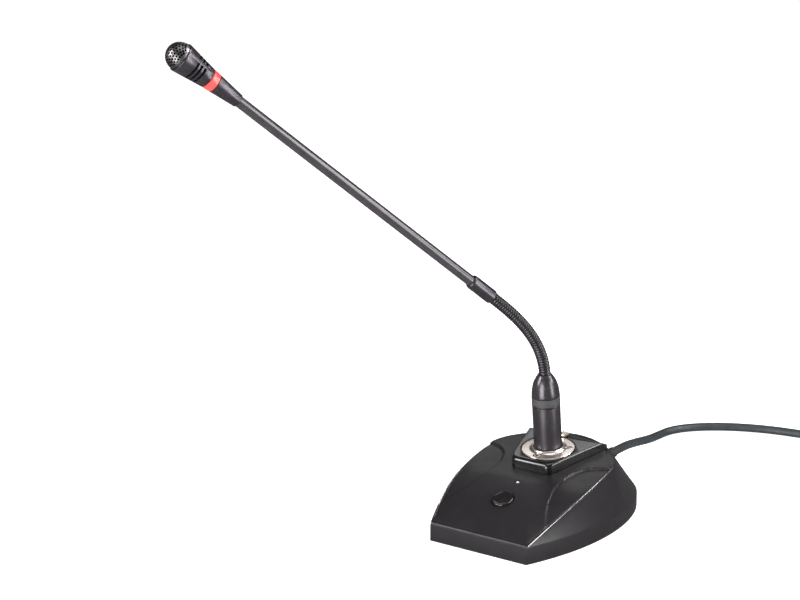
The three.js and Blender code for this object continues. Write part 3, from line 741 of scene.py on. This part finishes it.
def inset(points, distance):
    """A closed outline moved inwards."""
    before, after = np.roll(points, 1, 0), np.roll(points, -1, 0)
    first = (points - before) / np.linalg.norm(points - before, axis=1)[:, None]
    second = (after - points) / np.linalg.norm(after - points, axis=1)[:, None]
    bisector = np.stack([-(first + second)[:, 1], (first + second)[:, 0]], 1)
    bisector /= np.linalg.norm(bisector, axis=1)[:, None]
    stretch = np.maximum(0.5, bisector[:, 1] * second[:, 0] - bisector[:, 0] * second[:, 1])
    return points + bisector * (distance / stretch)[:, None]


def crease_height(y):
    run = y + HALF_LENGTH
    return np.where(run < 90, RIM_HEIGHT + 0.53 * run - 0.00225 * run * run, 40.68 + 0.1 * (run - 90))


def crown(y, fraction):
    dip = 1.9 * smoothstep(-32, -12, y)
    rise = 4.7 * smoothstep(15, 45, y)
    return (2.2 - dip + rise) * (1 - fraction ** 4)


POCKET = np.vstack([
    bezier(((43, -67), (33, -52), (26, -38), (26, -20)), 40),
    bezier(((26, -20), (26, -2), (36, 7.5), (52, 7.8)), 40)[1:],
])


def pocket_depth(x, y):
    """How far the two shallow side pockets sink the top, with a soft rolled edge."""
    across = np.abs(x)
    gap = np.min(np.hypot(across[..., None] - POCKET[:, 0], y[..., None] - POCKET[:, 1]), -1)
    inside = (across > np.interp(y, POCKET[:, 1], POCKET[:, 0])) & (y > POCKET[0, 1]) & (y < POCKET[-1, 1])
    signed = np.where(inside, gap, -gap)
    depth = 0.7 + 0.8 * smoothstep(-60, -5, y)
    return depth * smoothstep(-0.8, 0.8, signed)


def edge_groove(fraction, y):
    """The fine groove just inside the crease along both sides."""
    along = smoothstep(-80, -74, y) * (1 - smoothstep(6, 14, y))
    return 0.55 * math.exp(-((fraction - 0.977) / 0.0065) ** 2) * along


def rounded_turn(before, corner, after, radius, steps):
    """Rows of points that round the corner between two rows."""
    first, second = before - corner, after - corner
    first_length = np.linalg.norm(first, axis=1)[:, None]
    second_length = np.linalg.norm(second, axis=1)[:, None]
    start = corner + first / first_length * np.minimum(radius, 0.45 * first_length)
    end = corner + second / second_length * np.minimum(radius, 0.45 * second_length)
    rows = []
    for step in range(steps + 1):
        t = step / steps
        rows.append((1 - t) ** 2 * start + 2 * t * (1 - t) * corner + t * t * end)
    return rows


def with_height(plan, height):
    return np.column_stack([plan, np.broadcast_to(height, len(plan))])


def top_row(crease, fraction, drop, pockets):
    plan = TOP_CENTRE + (crease - TOP_CENTRE) * fraction
    height = crease_height(plan[:, 1]) + crown(plan[:, 1], fraction) - drop
    if pockets:
        height = height - pocket_depth(plan[:, 0], plan[:, 1]) - edge_groove(fraction, plan[:, 1])
    return with_height(plan, height)


def cover_rows(depth, bottom, fractions, outside):
    """Rows of the loft from the lower edge up the wall, over the skirt and in to the top's centre."""
    rim, crease = (RIM, CREASE) if outside else (inset(RIM, depth), inset(CREASE, depth))
    front = smoothstep(-76, -HALF_LENGTH + 1, rim[:, 1]) if outside else np.zeros(len(rim))
    rim_top = RIM_HEIGHT - RIM_FALL * smoothstep(-30, 30, rim[:, 1]) - 0.6 * depth - 0.75 * front
    crease = crease + np.column_stack([np.zeros(len(crease)), 0.6 * front])
    edge = top_row(crease, 1.0, depth, outside)
    foot = with_height(rim, bottom)
    corner = with_height(rim, rim_top)
    skirt = []
    for rise in np.linspace(0, 1, 15 if outside else 6)[1:-1]:
        flare = 1.5 - 0.5 * smoothstep(-50, 25, rim[:, 1])
        run = 1 - (1 - rise) ** flare[:, None]
        plan = rim + (crease - rim) * run
        skirt.append(with_height(plan, rim_top + (edge[:, 2] - rim_top) * rise))
    top = [top_row(crease, fraction, depth * 1.05, outside) for fraction in fractions]
    if not outside:
        return [foot, corner, *skirt, edge, *top]
    low_edge = rounded_turn(corner, foot, foot * (0.99, 0.99, 1), 0.4, 2)
    rows = [*reversed(low_edge)]
    rows += rounded_turn(foot, corner, skirt[0], 0.45, 4)
    rows += skirt
    rows += rounded_turn(skirt[-1], edge, top[0], 0.75, 5)
    return rows + top


def closed_loft(outer, inner, name):
    """One closed skin: the outer rows up to the middle and the inner rows back down."""
    count = len(outer[0])
    rows = [*outer, *reversed(inner)]
    verts = np.vstack(rows).tolist()
    faces = []
    seam = len(outer) - 1
    for row in range(len(rows)):
        low, high = row * count, ((row + 1) % len(rows)) * count
        if row == seam:
            continue
        for step in range(count):
            after = (step + 1) % count
            faces.append([low + step, low + after, high + after, high + step])
    for row, height in ((seam, outer[-1][:, 2]), (seam + 1, inner[-1][:, 2])):
        centre = len(verts)
        verts.append((*TOP_CENTRE, float(height.mean()) + 0.002))
        for step in range(count):
            faces.append([row * count + step, row * count + (step + 1) % count, centre])
    return solid(name, verts, faces)


HOUSING_SIDE = [
    (12.8, -23.6), (15.2, -21.6), (18.4, -14), (22, -2), (24.5, 7.5), (28.2, 20), (30.4, 26.5), (28.4, 28.8),
]


def housing_outline(grow):
    left = [(-x, y) for x, y in reversed(HOUSING_SIDE)]
    sharp = inset(np.array(HOUSING_SIDE + left, float), -grow)
    return rounded_outline(sharp.tolist(), max(0.4, 1.6 + grow), 5)


def make_cover():
    outer_fractions = np.concatenate([np.linspace(0.985, 0.45, 70), np.linspace(0.4, 0.05, 8)])
    outer = cover_rows(0, COVER_BOTTOM, outer_fractions, True)
    inner = cover_rows(WALL, COVER_BOTTOM, np.linspace(0.92, 0.1, 8), False)
    cover = closed_loft(outer, inner, "base_cover_moulded")
    bosses = [turned("boss", [(0, PLATE_TOP + GAP), (3.5, PLATE_TOP + GAP), (3.5, top), (0, top)],
                     Matrix.Translation((x, y, 0)), 0, 32)
              for (x, y), top in zip(POSTS, (18, 18, 30, 30))]
    combine(cover, bosses, "UNION")
    cutters = [rod(1.65, 0, 12, Matrix.Translation((x, y, 0)), 24) for x, y in POSTS]
    cutters.append(prism(housing_outline(GAP), -14, 6, SOCKET))
    cutters.append(rod(CAP_RADIUS + 0.5, -6, 6, PANEL, 96))
    cutters.append(rod(1.6, -6, 6, PANEL @ Matrix.Translation((0, LAMP_OFFSET, 0)), 32))
    cutters.append(rod(GLAND_RADIUS + 0.4, 50, 90, GLAND, 48))
    combine(cover, cutters)
    finished(cover, LOOKS["cover"], "base", "cover", "base_cover", sharp=32)


def make_bottom():
    """The steel plate with its raised panel, the feet and the screws."""
    outline = inset(RIM, WALL + GAP + 0.2)[::3].tolist()
    plate = prism(outline, PLATE_BOTTOM, PLATE_TOP, name="bottom_plate_pressed")
    panel = rounded_outline([(-26, -20), (26, -20), (26, 40), (-26, 40)], 3)
    combine(plate, [prism(panel, 0, PLATE_BOTTOM + 0.5)], "UNION")
    cutters = [rod(1.7, -1, 4, Matrix.Translation((x, y, 0)), 32) for x, y in POSTS]
    cutters += [rod(2.3, -1, 4, Matrix.Translation((x, y, 0)), 32) for x, y in FEET]
    bevel(combine(plate, cutters), 0.2)
    finished(plate, LOOKS["plate"], "base", "plate", "bottom_plate")
    foot_profile = [
        (0, FLOOR), (4.2, FLOOR), (5.5, FLOOR, 0.6), (6, FLOOR + 0.9), (6, PLATE_BOTTOM - GAP),
        (1.95, PLATE_BOTTOM - GAP), (1.95, PLATE_TOP + GAP), (2.9, PLATE_TOP + GAP), (0, 4.6),
    ]
    for index, (x, y) in enumerate(FEET, 1):
        foot = turned(f"foot_moulded_{index}", foot_profile, Matrix.Translation((x, y, 0)), 0.3, 48)
        finished(foot, LOOKS["foot"], "base", "foot", f"foot_{index}")
    for index, (x, y) in enumerate(POSTS, 1):
        place = Matrix.Translation((x, y, 0))
        profile = [(0, -0.9), (2.4, -0.9), (2.9, -0.3), (2.9, 0.5), (1.3, 0.5), (1.3, 10.6), (0, 11)]
        screw = turned(f"base_screw_turned_{index}", profile, place, 0.2, 40)
        cross_recess(screw, place, -1.2, -0.1, 3)
        finished(screw, LOOKS["steel_screw"], "base", "steel_screw", f"base_screw_{index}")


def cross_recess(screw, place, bottom, top, length):
    """The driver's cross in a screw's head."""
    combine(screw, [
        block(length, 0.55, bottom, top, place @ turn(0.5, "Z")),
        block(0.55, length, bottom, top, place @ turn(0.5, "Z")),
    ])


def make_bead():
    """The fine light metal bead along both side creases, a painted highlight that stands in for the light on
    the cover's crease edge.
    """
    front, rear = -80.5, 12
    side = CREASE[(CREASE[:, 0] > 0) & (CREASE[:, 1] > front) & (CREASE[:, 1] < rear)]
    side = side[np.argsort(side[:, 1])]
    for name, mirror in (("right", 1), ("left", -1)):
        plan = TOP_CENTRE + (side - TOP_CENTRE) * 0.9985
        line = with_height(plan * (mirror, 1), crease_height(plan[:, 1]) - BEAD_SINK)
        finished(tube(f"crease_highlight_bead_{name}", line, BEAD_RADIUS, 10), LOOKS["bead"], "base", "cover")


make_cover()
make_bottom()
make_bead()

# ---------------------------------------------------------------- raised housing and socket


def rounded_block(outline, bottom, top, radius, steps, name, place):
    """An upright wall round the outline, rolled over at its top edge by that radius at each corner."""
    outline = np.array(outline)
    rows = [with_height(outline, bottom)]
    for step in range(steps + 1):
        angle = math.pi / 2 * step / steps
        plan = inset(outline, radius * (1 - math.cos(angle)))
        rows.append(with_height(plan, top - radius * (1 - math.sin(angle))))
    count = len(outline)
    faces = [list(range(count)), list(range(len(rows) * count - count, len(rows) * count))]
    for row in range(len(rows) - 1):
        for step in range(count):
            after = (step + 1) % count
            low, high = row * count, (row + 1) * count
            faces.append([low + step, low + after, high + after, high + step])
    return solid(name, np.vstack(rows).tolist(), faces, place)


def make_housing():
    outline = np.array(housing_outline(0))
    radius = 1.1 + 2.1 * smoothstep(-19, -23, outline[:, 1])
    body = rounded_block(outline, -12, 0, radius, 8, "collar_housing_moulded", SOCKET)
    bevel_wedge = prism(
        [(21, 0), (31, -4.4), (31, 1), (21, 1)], -40, 40,
        SOCKET @ Matrix(((0, 0, 1, 0), (1, 0, 0, 0), (0, 1, 0, 0), (0, 0, 0, 1))),
    )
    under = prism(housing_outline(-WALL), -13, -4.4, SOCKET)
    cutters = [
        bevel_wedge, under,
        rod(FLANGE_RADIUS + 0.7, -2, 1, SOCKET, 128), rod(SOCKET_RADIUS + 0.5, -13, 1, SOCKET, 96),
    ]
    notch = rounded_outline([(-3.5, 17.7), (3.5, 17.7), (3.5, 24.7), (-3.5, 24.7)], 0.8)
    cutters.append(prism(notch, -13, 1, SOCKET))
    for angle in SCREW_ANGLES:
        cutters.append(rod(1.5, -13, 1, about(SCREW_CIRCLE, angle, SOCKET), 24))
    combine(body, cutters)
    bevel(body, 0.3, 2, 30)
    finished(body, LOOKS["housing"], "base", "housing", "collar_housing")


def make_socket():
    profile = [
        (9.9, 1.2), (10.2, 1.9, 0.2), (10.7, 1.8, 0.3), (11.4, 0.8, 0.8), (12.5, 0.05, 0.6),
        (FLANGE_RADIUS - 0.3, 0, 0.1), (FLANGE_RADIUS, -0.3, 0.1), (FLANGE_RADIUS, -1.7),
        (SOCKET_RADIUS, -1.7), (SOCKET_RADIUS, -22.5), (8.6, -22.5), (8.6, -21.3), (9.9, -21.3),
    ]
    shell = turned("socket_shell_turned", profile, SOCKET, 0.22, 128)
    sink = [(0, -4), (1.5, -4), (1.5, -0.8), (2.4, -0.8), (2.4, -0.25), (2.75, 2), (0, 2)]
    combine(shell, [turned("sink", sink, about(SCREW_CIRCLE, angle, SOCKET), 0, 40) for angle in SCREW_ANGLES])
    finished(shell, LOOKS["flange"], "base", "flange", "socket_shell")
    disc = [(0, -21), (9.6, -21), (9.6, -18.2), (7.6, -18.2), (7.6, -1.5), (0, -1.5)]
    insert = insert_disc("socket_insert_moulded", disc, SOCKET)
    finished(insert, LOOKS["insert"], "base", "insert", "socket_insert")
    for index, angle in enumerate(SCREW_ANGLES, 1):
        place = about(SCREW_CIRCLE, angle, SOCKET)
        profile = [(0, -6), (1.1, -5.5), (1.1, -0.5), (2, -0.5), (2, -0.05), (1.2, 0.27), (0, 0.35)]
        screw = turned(f"flange_screw_turned_{index}", profile, place, 0.15, 40)
        cross_recess(screw, place, -0.35, 0.6, 2.2)
        finished(screw, LOOKS["cable_plug"], "base", "flange", f"flange_screw_{index}")


def make_latch():
    """The release lever: a ridged pad and the leg behind the flange."""
    pad = block(5.4, 5, 0.3, 1.9, SOCKET, 0, 21.4, "latch_tab_pressed")
    combine(pad, [block(4, 1.6, -9, 1, SOCKET, 0, 20.2)], "UNION")
    grooves = [block(6, 0.45, 1.6, 2.2, SOCKET, 0, 20.2 + 1.2 * step) for step in range(3)]
    combine(pad, grooves)
    bevel(pad, 0.18)
    finished(pad, LOOKS["flange"], "latch", "flange", "latch_tab")


make_housing()
make_socket()
make_latch()

# ---------------------------------------------------------------- button and lamp


def make_panel():
    cap_profile = [
        (0, 0.75), (5.6, 0.7, 0.6), (6.3, 1.0, 0.3), (6.9, 1.0, 0.35), (CAP_RADIUS, 0.45, 0.3),
        (CAP_RADIUS, -3.4), (6.4, -3.4), (6.4, -1.2), (1.8, -1.2), (1.8, -5.5), (0, -5.5),
    ]
    cap = turned("push_button_cap", cap_profile, PANEL, 0.2, 96)
    finished(cap, LOOKS["button"], "button", "button", "push_button")
    place = PANEL @ Matrix.Translation((0, LAMP_OFFSET, 0))
    lamp_profile = [
        (0, -0.45), (0.6, -0.5), (1.05, -0.8), (1.25, -1.4), (1.25, -6.8), (1.7, -6.8),
        (1.7, BOARD_TOP + GAP), (0, BOARD_TOP + GAP),
    ]
    lamp = turned("led_lamp_moulded", lamp_profile, place, 0.15, 40)
    finished(lamp, LOOKS["lamp"], "base", "lamp", "led_lamp")


make_panel()

# ---------------------------------------------------------------- stem plug and neck


def make_plug():
    bottom, top = -16.5, NOSE_START - GAP
    shell_profile = [(SHELL_BORE, bottom), (SHELL_RADIUS, bottom), (SHELL_RADIUS, top), (SHELL_BORE, top)]
    shell = turned("plug_shell_turned", shell_profile, STEM, 0.35, 128)
    finished(shell, LOOKS["plug_metal"], "plug", "plug_metal", "plug_shell")
    insert = insert_disc(
        "plug_insert_moulded", [(0, 0), (SHELL_BORE - 0.4, 0), (SHELL_BORE - 0.4, 10), (0, 10)], SOCKET
    )
    finished(insert, LOOKS["insert"], "plug", "insert", "plug_insert")
    for index, angle in enumerate(PIN_ANGLES, 1):
        pin = turned(
            f"plug_pin_turned_{index}", [(0, -14.5), (1.2, -13.6, 0.8), (1.2, 16), (0, 16)],
            about(PIN_CIRCLE, angle, SOCKET), 0.2, 32,
        )
        finished(pin, LOOKS["contact"], "plug", "contact", f"plug_pin_{index}")
    make_nose()


def make_nose():
    """The bullet-shaped grip over the flexible neck's foot, with a rubber band in its groove."""
    profile = [
        (4.3, 24), (7.8, 24), (7.8, NOSE_START), (9.6, NOSE_START, 0.3), (9.6, NOSE_START + 0.75, 0.2),
        (9.3, NOSE_START + 0.9, 0.1), (9.3, BAND_TOP - 0.2, 0.1), (9.55, BAND_TOP - 0.05, 0.15),
        (9.5, 40.2, 1.2), (9.28, 42.4, 1.5), (8.75, 45.6, 2), (7.9, 48.3, 2), (6.6, 51, 2), (5.2, 53.1, 1),
        (4.7, NOSE_TOP, 0.3), (2.6, NOSE_TOP), (2.6, 50), (4.3, 46),
    ]
    nose = turned("stem_nose_turned", profile, STEM, 0.2, 128)
    finished(nose, LOOKS["nose_metal"], "plug", "plug_metal", "stem_nose")
    band_profile = [
        (9.33, NOSE_START + 1.0), (9.62, NOSE_START + 1.0), (9.62, BAND_TOP - 0.3), (9.33, BAND_TOP - 0.3),
    ]
    band = turned("stem_grip_band", band_profile, STEM, 0.12, 128)
    finished(band, LOOKS["band"], "plug", "plug_metal")


RIB_PITCH = 1.95
RIB_DEPTH = 0.8


def neck_piece(name, start, end):
    """A length of the ribbed neck: a helical outer skin round a plain bore."""
    sides = 48
    rings = max(4, round((end - start) / RIB_PITCH * 12))
    bore = 2.62
    verts, faces = [], []
    for ring in range(rings + 1):
        distance = start + (end - start) * ring / rings
        place, lean = neck_place(distance)
        across = Vector((math.cos(lean), 0, -math.sin(lean)))
        side = Vector((0, 1, 0))
        for step in range(sides):
            angle = 2 * math.pi * step / sides
            phase = (distance / RIB_PITCH - step / sides) % 1 * 2 - 1
            radius = NECK_RADIUS - RIB_DEPTH * (1 - math.sqrt(max(0, 1 - phase * phase)))
            verts.append(place + radius * (math.cos(angle) * across + math.sin(angle) * side))
        for step in range(sides):
            angle = 2 * math.pi * step / sides
            verts.append(place + bore * (math.cos(angle) * across + math.sin(angle) * side))
    stride = 2 * sides
    for ring in range(rings):
        for step in range(sides):
            after = (step + 1) % sides
            low = ring * stride
            faces.append([low + step, low + after, low + stride + after, low + stride + step])
            low += sides
            faces.append([low + step, low + stride + step, low + stride + after, low + after])
    for low in (0, rings * stride):
        for step in range(sides):
            after = (step + 1) % sides
            faces.append([low + step, low + sides + step, low + sides + after, low + after])
    return solid(name, verts, faces, STEM)


def make_neck():
    """Each piece runs from mid link to mid link, across the hinge between them, along the neck's curved
    centreline.
    """
    pitch = (NECK_LENGTH - LINK_GAP) / LINK_COUNT
    ends = [0] + [LINK_GAP / 2 + pitch * (link + 0.5) for link in range(LINK_COUNT)] + [NECK_LENGTH]
    for index, (start, end) in enumerate(zip(ends, ends[1:])):
        hinge = LINK_GAP / 2 + pitch * index
        reach = min(hinge - start, end - hinge, 3.6) if index in (0, LINK_COUNT) else 3.6
        piece = neck_piece(f"neck_length_{index + 1}", start, end)
        nodes = [f"gooseneck_link_{index}"] if index else []
        finished(piece, LOOKS["neck"], None, "neck", *nodes, sharp=80)
        low = metres(STEM) @ (neck_place(max(hinge - reach, start))[0] * MM)
        high = metres(STEM) @ (neck_place(min(hinge + max(reach, 1.6), end))[0] * MM)
        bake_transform(piece)


make_plug()
make_neck()

# ---------------------------------------------------------------- boom and head


def make_boom():
    bore = TUBE_RADIUS + GAP
    ferrule_profile = [
        (2.6, 0), (4.1, 0), (FERRULE_RADIUS, 0.9, 0.3), (FERRULE_RADIUS, FERRULE_END - 1, 0.4),
        (FERRULE_RADIUS - 0.4, FERRULE_END, 0.3), (bore, FERRULE_END), (bore, TUBE_START - GAP),
        (2.6, TUBE_START - GAP),
    ]
    ferrule = turned("ferrule_turned", ferrule_profile, BOOM, 0.2, 96)
    finished(ferrule, LOOKS["head"], "boom", "head", "ferrule")
    rows = [(TUBE_RADIUS, TUBE_START + 12 * step) for step in range(19)]
    tube_profile = [(TUBE_BORE, TUBE_START), *rows, (TUBE_RADIUS, TUBE_END), (TUBE_BORE, TUBE_END)]
    boom_tube = turned("boom_tube_drawn", tube_profile, BOOM, 0.15, 64)
    finished(boom_tube, LOOKS["tube"], "boom", "tube", "boom_tube")


def make_head():
    bore = TUBE_RADIUS + GAP
    cone_profile = [
        (bore, CONE_START), (4.3, CONE_START, 0.3), (6.15, RING_START - GAP, 0.25), (5, RING_START - GAP),
        (4.6, 236.5), (2.6, 235.5), (2.6, TUBE_END + GAP), (bore, TUBE_END + GAP),
    ]
    cone = turned("head_cone_turned", cone_profile, HEAD, 0.2, 96)
    finished(cone, LOOKS["head"], "boom", "head", "head_cone")
    ring_profile = [
        (5.2, RING_START), (6.2, RING_START, 0.35), (6.42, 244.5, 1), (6.6, RING_END, 0.35), (5.2, RING_END),
    ]
    ring = turned("light_ring_moulded", ring_profile, HEAD, 0.2, 96)
    finished(ring, LOOKS["ring"], "boom", "ring", "light_ring")
    make_barrel()
    foam = solid("grille_foam", *lathe(dome_profile(8.2, 8.4, 0.4, 12), 64), HEAD)
    finished(foam, LOOKS["cloth"], "boom", "head")
    cloth = turned("slot_cloth", [(5.4, 251), (5.8, 251), (7.6, 262.3), (7.2, 262.3)], HEAD, 0.1, 96)
    finished(cloth, LOOKS["cloth"], "boom", "head")
    mount_profile = [(6.5, 262.6), (7.3, 262.6), (7.3, 266.1), (6.5, 266.1)]
    mount = turned("capsule_mount_moulded", mount_profile, HEAD, 0.2, 64)
    finished(mount, LOOKS["soft_black"], "boom", "soft_black", "capsule_mount")
    capsule_profile = [
        (0, 262.1), (6.1, 262.1), (6.1, 269.1, 0.4), (5.2, 269.1), (5.2, 268.7), (1.6, 268.7), (1.3, 268.3),
        (0, 268.3),
    ]
    capsule = turned("capsule_pressed", capsule_profile, HEAD, 0.15, 64)
    finished(capsule, LOOKS["capsule"], "boom", "capsule", "capsule")
    make_grille()


def make_barrel():
    profile = [
        (2.6, 238), (3.2, 238), (3.2, RING_END + GAP), (6.65, RING_END + GAP, 0.3), (9.65, 268.3, 0.4),
        (9.65, BARREL_END, 0.3), (9.2, BARREL_END, 0.2), (9.05, 268.8), (8.6, 267.9), (5.9, 250.6),
        (5.4, 249.1), (2.6, 249.1),
    ]
    barrel = turned("head_barrel_turned", profile, HEAD, 0.2, 128)
    cutters = []
    for station in SLOT_STATIONS:
        for middle in SLOT_ANGLES:
            spread = np.radians(middle + np.linspace(-0.5, 0.5, 25) * SLOT_ARC)
            outline = [(12 * math.cos(a), 12 * math.sin(a)) for a in spread]
            outline += [(4.8 * math.cos(a), 4.8 * math.sin(a)) for a in spread[::-1]]
            cutters.append(prism(outline, station - SLOT_WIDTH / 2, station + SLOT_WIDTH / 2, HEAD))
    combine(barrel, cutters)
    bevel(barrel, 0.16, 2, 50)
    finished(barrel, LOOKS["head"], "boom", "head", "head_barrel")


def dome_profile(radius, height, wall, steps):
    """The profile of a domed shell that stands just past the barrel's rim."""
    base = BARREL_END + GAP
    quarter = np.linspace(0, math.pi / 2, steps + 1)
    outer = [(radius * math.cos(a), base + height * math.sin(a)) for a in quarter]
    inner = [((radius - wall) * math.cos(a), base + (height - wall) * math.sin(a)) for a in quarter[::-1]]
    outer[-1], inner[0] = (0, outer[-1][1]), (0, inner[0][1])
    return [*outer, *inner]


def make_grille():
    """A domed shell perforated in a hexagonal pattern that follows the dome."""
    base = BARREL_END + GAP
    verts, faces = lathe(dome_profile(GRILLE_RADIUS, GRILLE_HEIGHT, 0.6, 20), 96)
    dome = solid("grille_perforated", verts, faces, HEAD)
    pitch, hole = 2.15, 0.7
    verts, faces = [], []
    sides = 14
    reach = GRILLE_RADIUS * 1.34
    for row in range(-8, 9):
        for column in range(-8, 9):
            x = pitch * (column + 0.5 * (row % 2))
            y = pitch * row * math.sqrt(3) / 2
            along = math.hypot(x, y)
            if along > reach:
                continue
            polar = along / GRILLE_RADIUS
            azimuth = math.atan2(y, x)
            out = Vector((
                math.sin(polar) * math.cos(azimuth), math.sin(polar) * math.sin(azimuth), math.cos(polar),
            ))
            side = out.cross((0.3, 0.9, 0.31)).normalized()
            up = out.cross(side)
            first = len(verts)
            for depth in (GRILLE_RADIUS - 2.2, GRILLE_RADIUS + 1.5):
                middle = Vector((0, 0, base)) + out * depth
                for step in range(sides):
                    a = 2 * math.pi * step / sides
                    verts.append(middle + hole * (math.cos(a) * side + math.sin(a) * up))
            faces.append([first + k for k in range(sides)])
            faces.append([first + sides + k for k in range(sides)])
            for k in range(sides):
                after = (k + 1) % sides
                faces.append([first + k, first + after, first + sides + after, first + sides + k])
    combine(dome, [solid("holes", verts, faces, HEAD)])
    finished(dome, LOOKS["grille"], "boom", "grille", "grille", sharp=40)


make_boom()
make_head()

# ---------------------------------------------------------------- gland and inner pieces


def make_gland():
    """The tapered strain relief, with grooves that let it bend."""
    profile = [(3.3, GLAND_START), (GLAND_RADIUS, GLAND_START), (GLAND_RADIUS, 76), (4.65, 77.5)]
    for rib in range(4):
        start = 79 + 3.3 * rib
        width = 4.5 - 0.18 * rib
        profile += [
            (width - 0.5, start), (width - 0.5, start + 0.7),
            (width, start + 0.9), (width - 0.08, start + 3.1),
        ]
    profile += [(3.8, GLAND_END, 0.3), (3.3, GLAND_END)]
    gland = turned("cable_gland_moulded", profile, GLAND, 0.2, 64)
    finished(gland, LOOKS["soft_black"], "base", "soft_black", "cable_gland")


make_gland()
SLOTS = {part["node"]: part["material_slot"] for part in frame["record"]["subparts"]}
for node_name, node in frame["nodes"].items():
    if not node.hide_render:
        node.data.materials.clear()
        node.data.materials.append(LOOKS[SLOTS[node_name]])

# ---------------------------------------------------------------- floor and light


def make_floor():
    size = 12
    height = (FLOOR - 0.02) * MM
    mesh = bpy.data.meshes.new("floor")
    corners = [(-size, -size, height), (size, -size, height), (size, size, height), (-size, size, height)]
    mesh.from_pydata(corners, [], [(0, 1, 2, 3)])
    floor = bpy.data.objects.new("floor", mesh)
    bpy.context.scene.collection.objects.link(floor)
    floor.visible_glossy = False
    floor.visible_shadow = False
    paper = Look("pale_paper", emission_color=(1, 1, 1, 1), emission_strength=0.9)
    paper.colour(paper.noise(60), (0.8, 0.8, 0.8), (0.82, 0.82, 0.82))
    paper.roughness(paper.noise(2), 0.85, 0.95)
    mesh.materials.append(paper.material)


def make_world():
    """White where the camera looks, and a dim room in the reflections."""
    world = bpy.data.worlds.new("studio")
    world.use_nodes = True
    tree = world.node_tree
    link = tree.links.new
    above, below = 0.08, 0.2
    where = tree.nodes.new("ShaderNodeTexCoord")
    split = tree.nodes.new("ShaderNodeSeparateXYZ")
    level = tree.nodes.new("ShaderNodeMapRange")
    for socket, value in zip(("From Min", "From Max", "To Min", "To Max"), (-0.2, 0.2, below, above)):
        level.inputs[socket].default_value = value
    room = tree.nodes["Background"]
    paper = tree.nodes.new("ShaderNodeBackground")
    for background in (room, paper):
        background.inputs["Color"].default_value = (1, 1, 1, 1)
    paper.inputs["Strength"].default_value = 1.0
    path = tree.nodes.new("ShaderNodeLightPath")
    mix = tree.nodes.new("ShaderNodeMixShader")
    link(where.outputs["Generated"], split.inputs["Vector"])
    link(split.outputs["Z"], level.inputs["Value"])
    link(level.outputs["Result"], room.inputs["Strength"])
    link(path.outputs["Is Camera Ray"], mix.inputs["Fac"])
    link(room.outputs["Background"], mix.inputs[1])
    link(paper.outputs["Background"], mix.inputs[2])
    link(mix.outputs["Shader"], tree.nodes["World Output"].inputs["Surface"])
    bpy.context.scene.world = world


# name, azimuth and elevation in degrees, width and height in metres, radiance
SOFTBOXES = [
    ("front", -88, -4, 0.85, 1.3, 9),
    ("front_left", -129, 24, 0.5, 0.8, 15),
    ("right", 3, 4, 0.55, 1.1, 9),
    ("right_upper", 25, 24, 0.75, 0.32, 13),
    ("right_high", 42, 47, 0.75, 0.34, 17),
    ("rear_left", 124, 34, 0.65, 0.5, 1.5),
    ("overhead", -40, 80, 1.0, 1.0, 2.5),
]


def add_softbox(name, azimuth, elevation, width, height, radiance, distance=1.6):
    """A rectangular light that faces the microphone from that direction."""
    azimuth, elevation = math.radians(azimuth), math.radians(elevation)
    middle = Vector((-0.03, -0.05, 0.14))
    out = Vector((
        math.cos(elevation) * math.cos(azimuth), math.cos(elevation) * math.sin(azimuth), math.sin(elevation),
    ))
    data = bpy.data.lights.new(name, "AREA")
    data.shape = "RECTANGLE"
    data.size, data.size_y = width, height
    data.energy = radiance * math.pi * width * height
    light = bpy.data.objects.new(name, data)
    light.matrix_world = (
        Matrix.Translation(middle + distance * out) @ (-out).to_track_quat("-Z", "Y").to_matrix().to_4x4()
    )
    bpy.context.scene.collection.objects.link(light)


def make_studio():
    make_floor()
    make_world()
    for box in SOFTBOXES:
        add_softbox(*box)
    bpy.context.scene.view_settings.view_transform = "Standard"


make_studio()
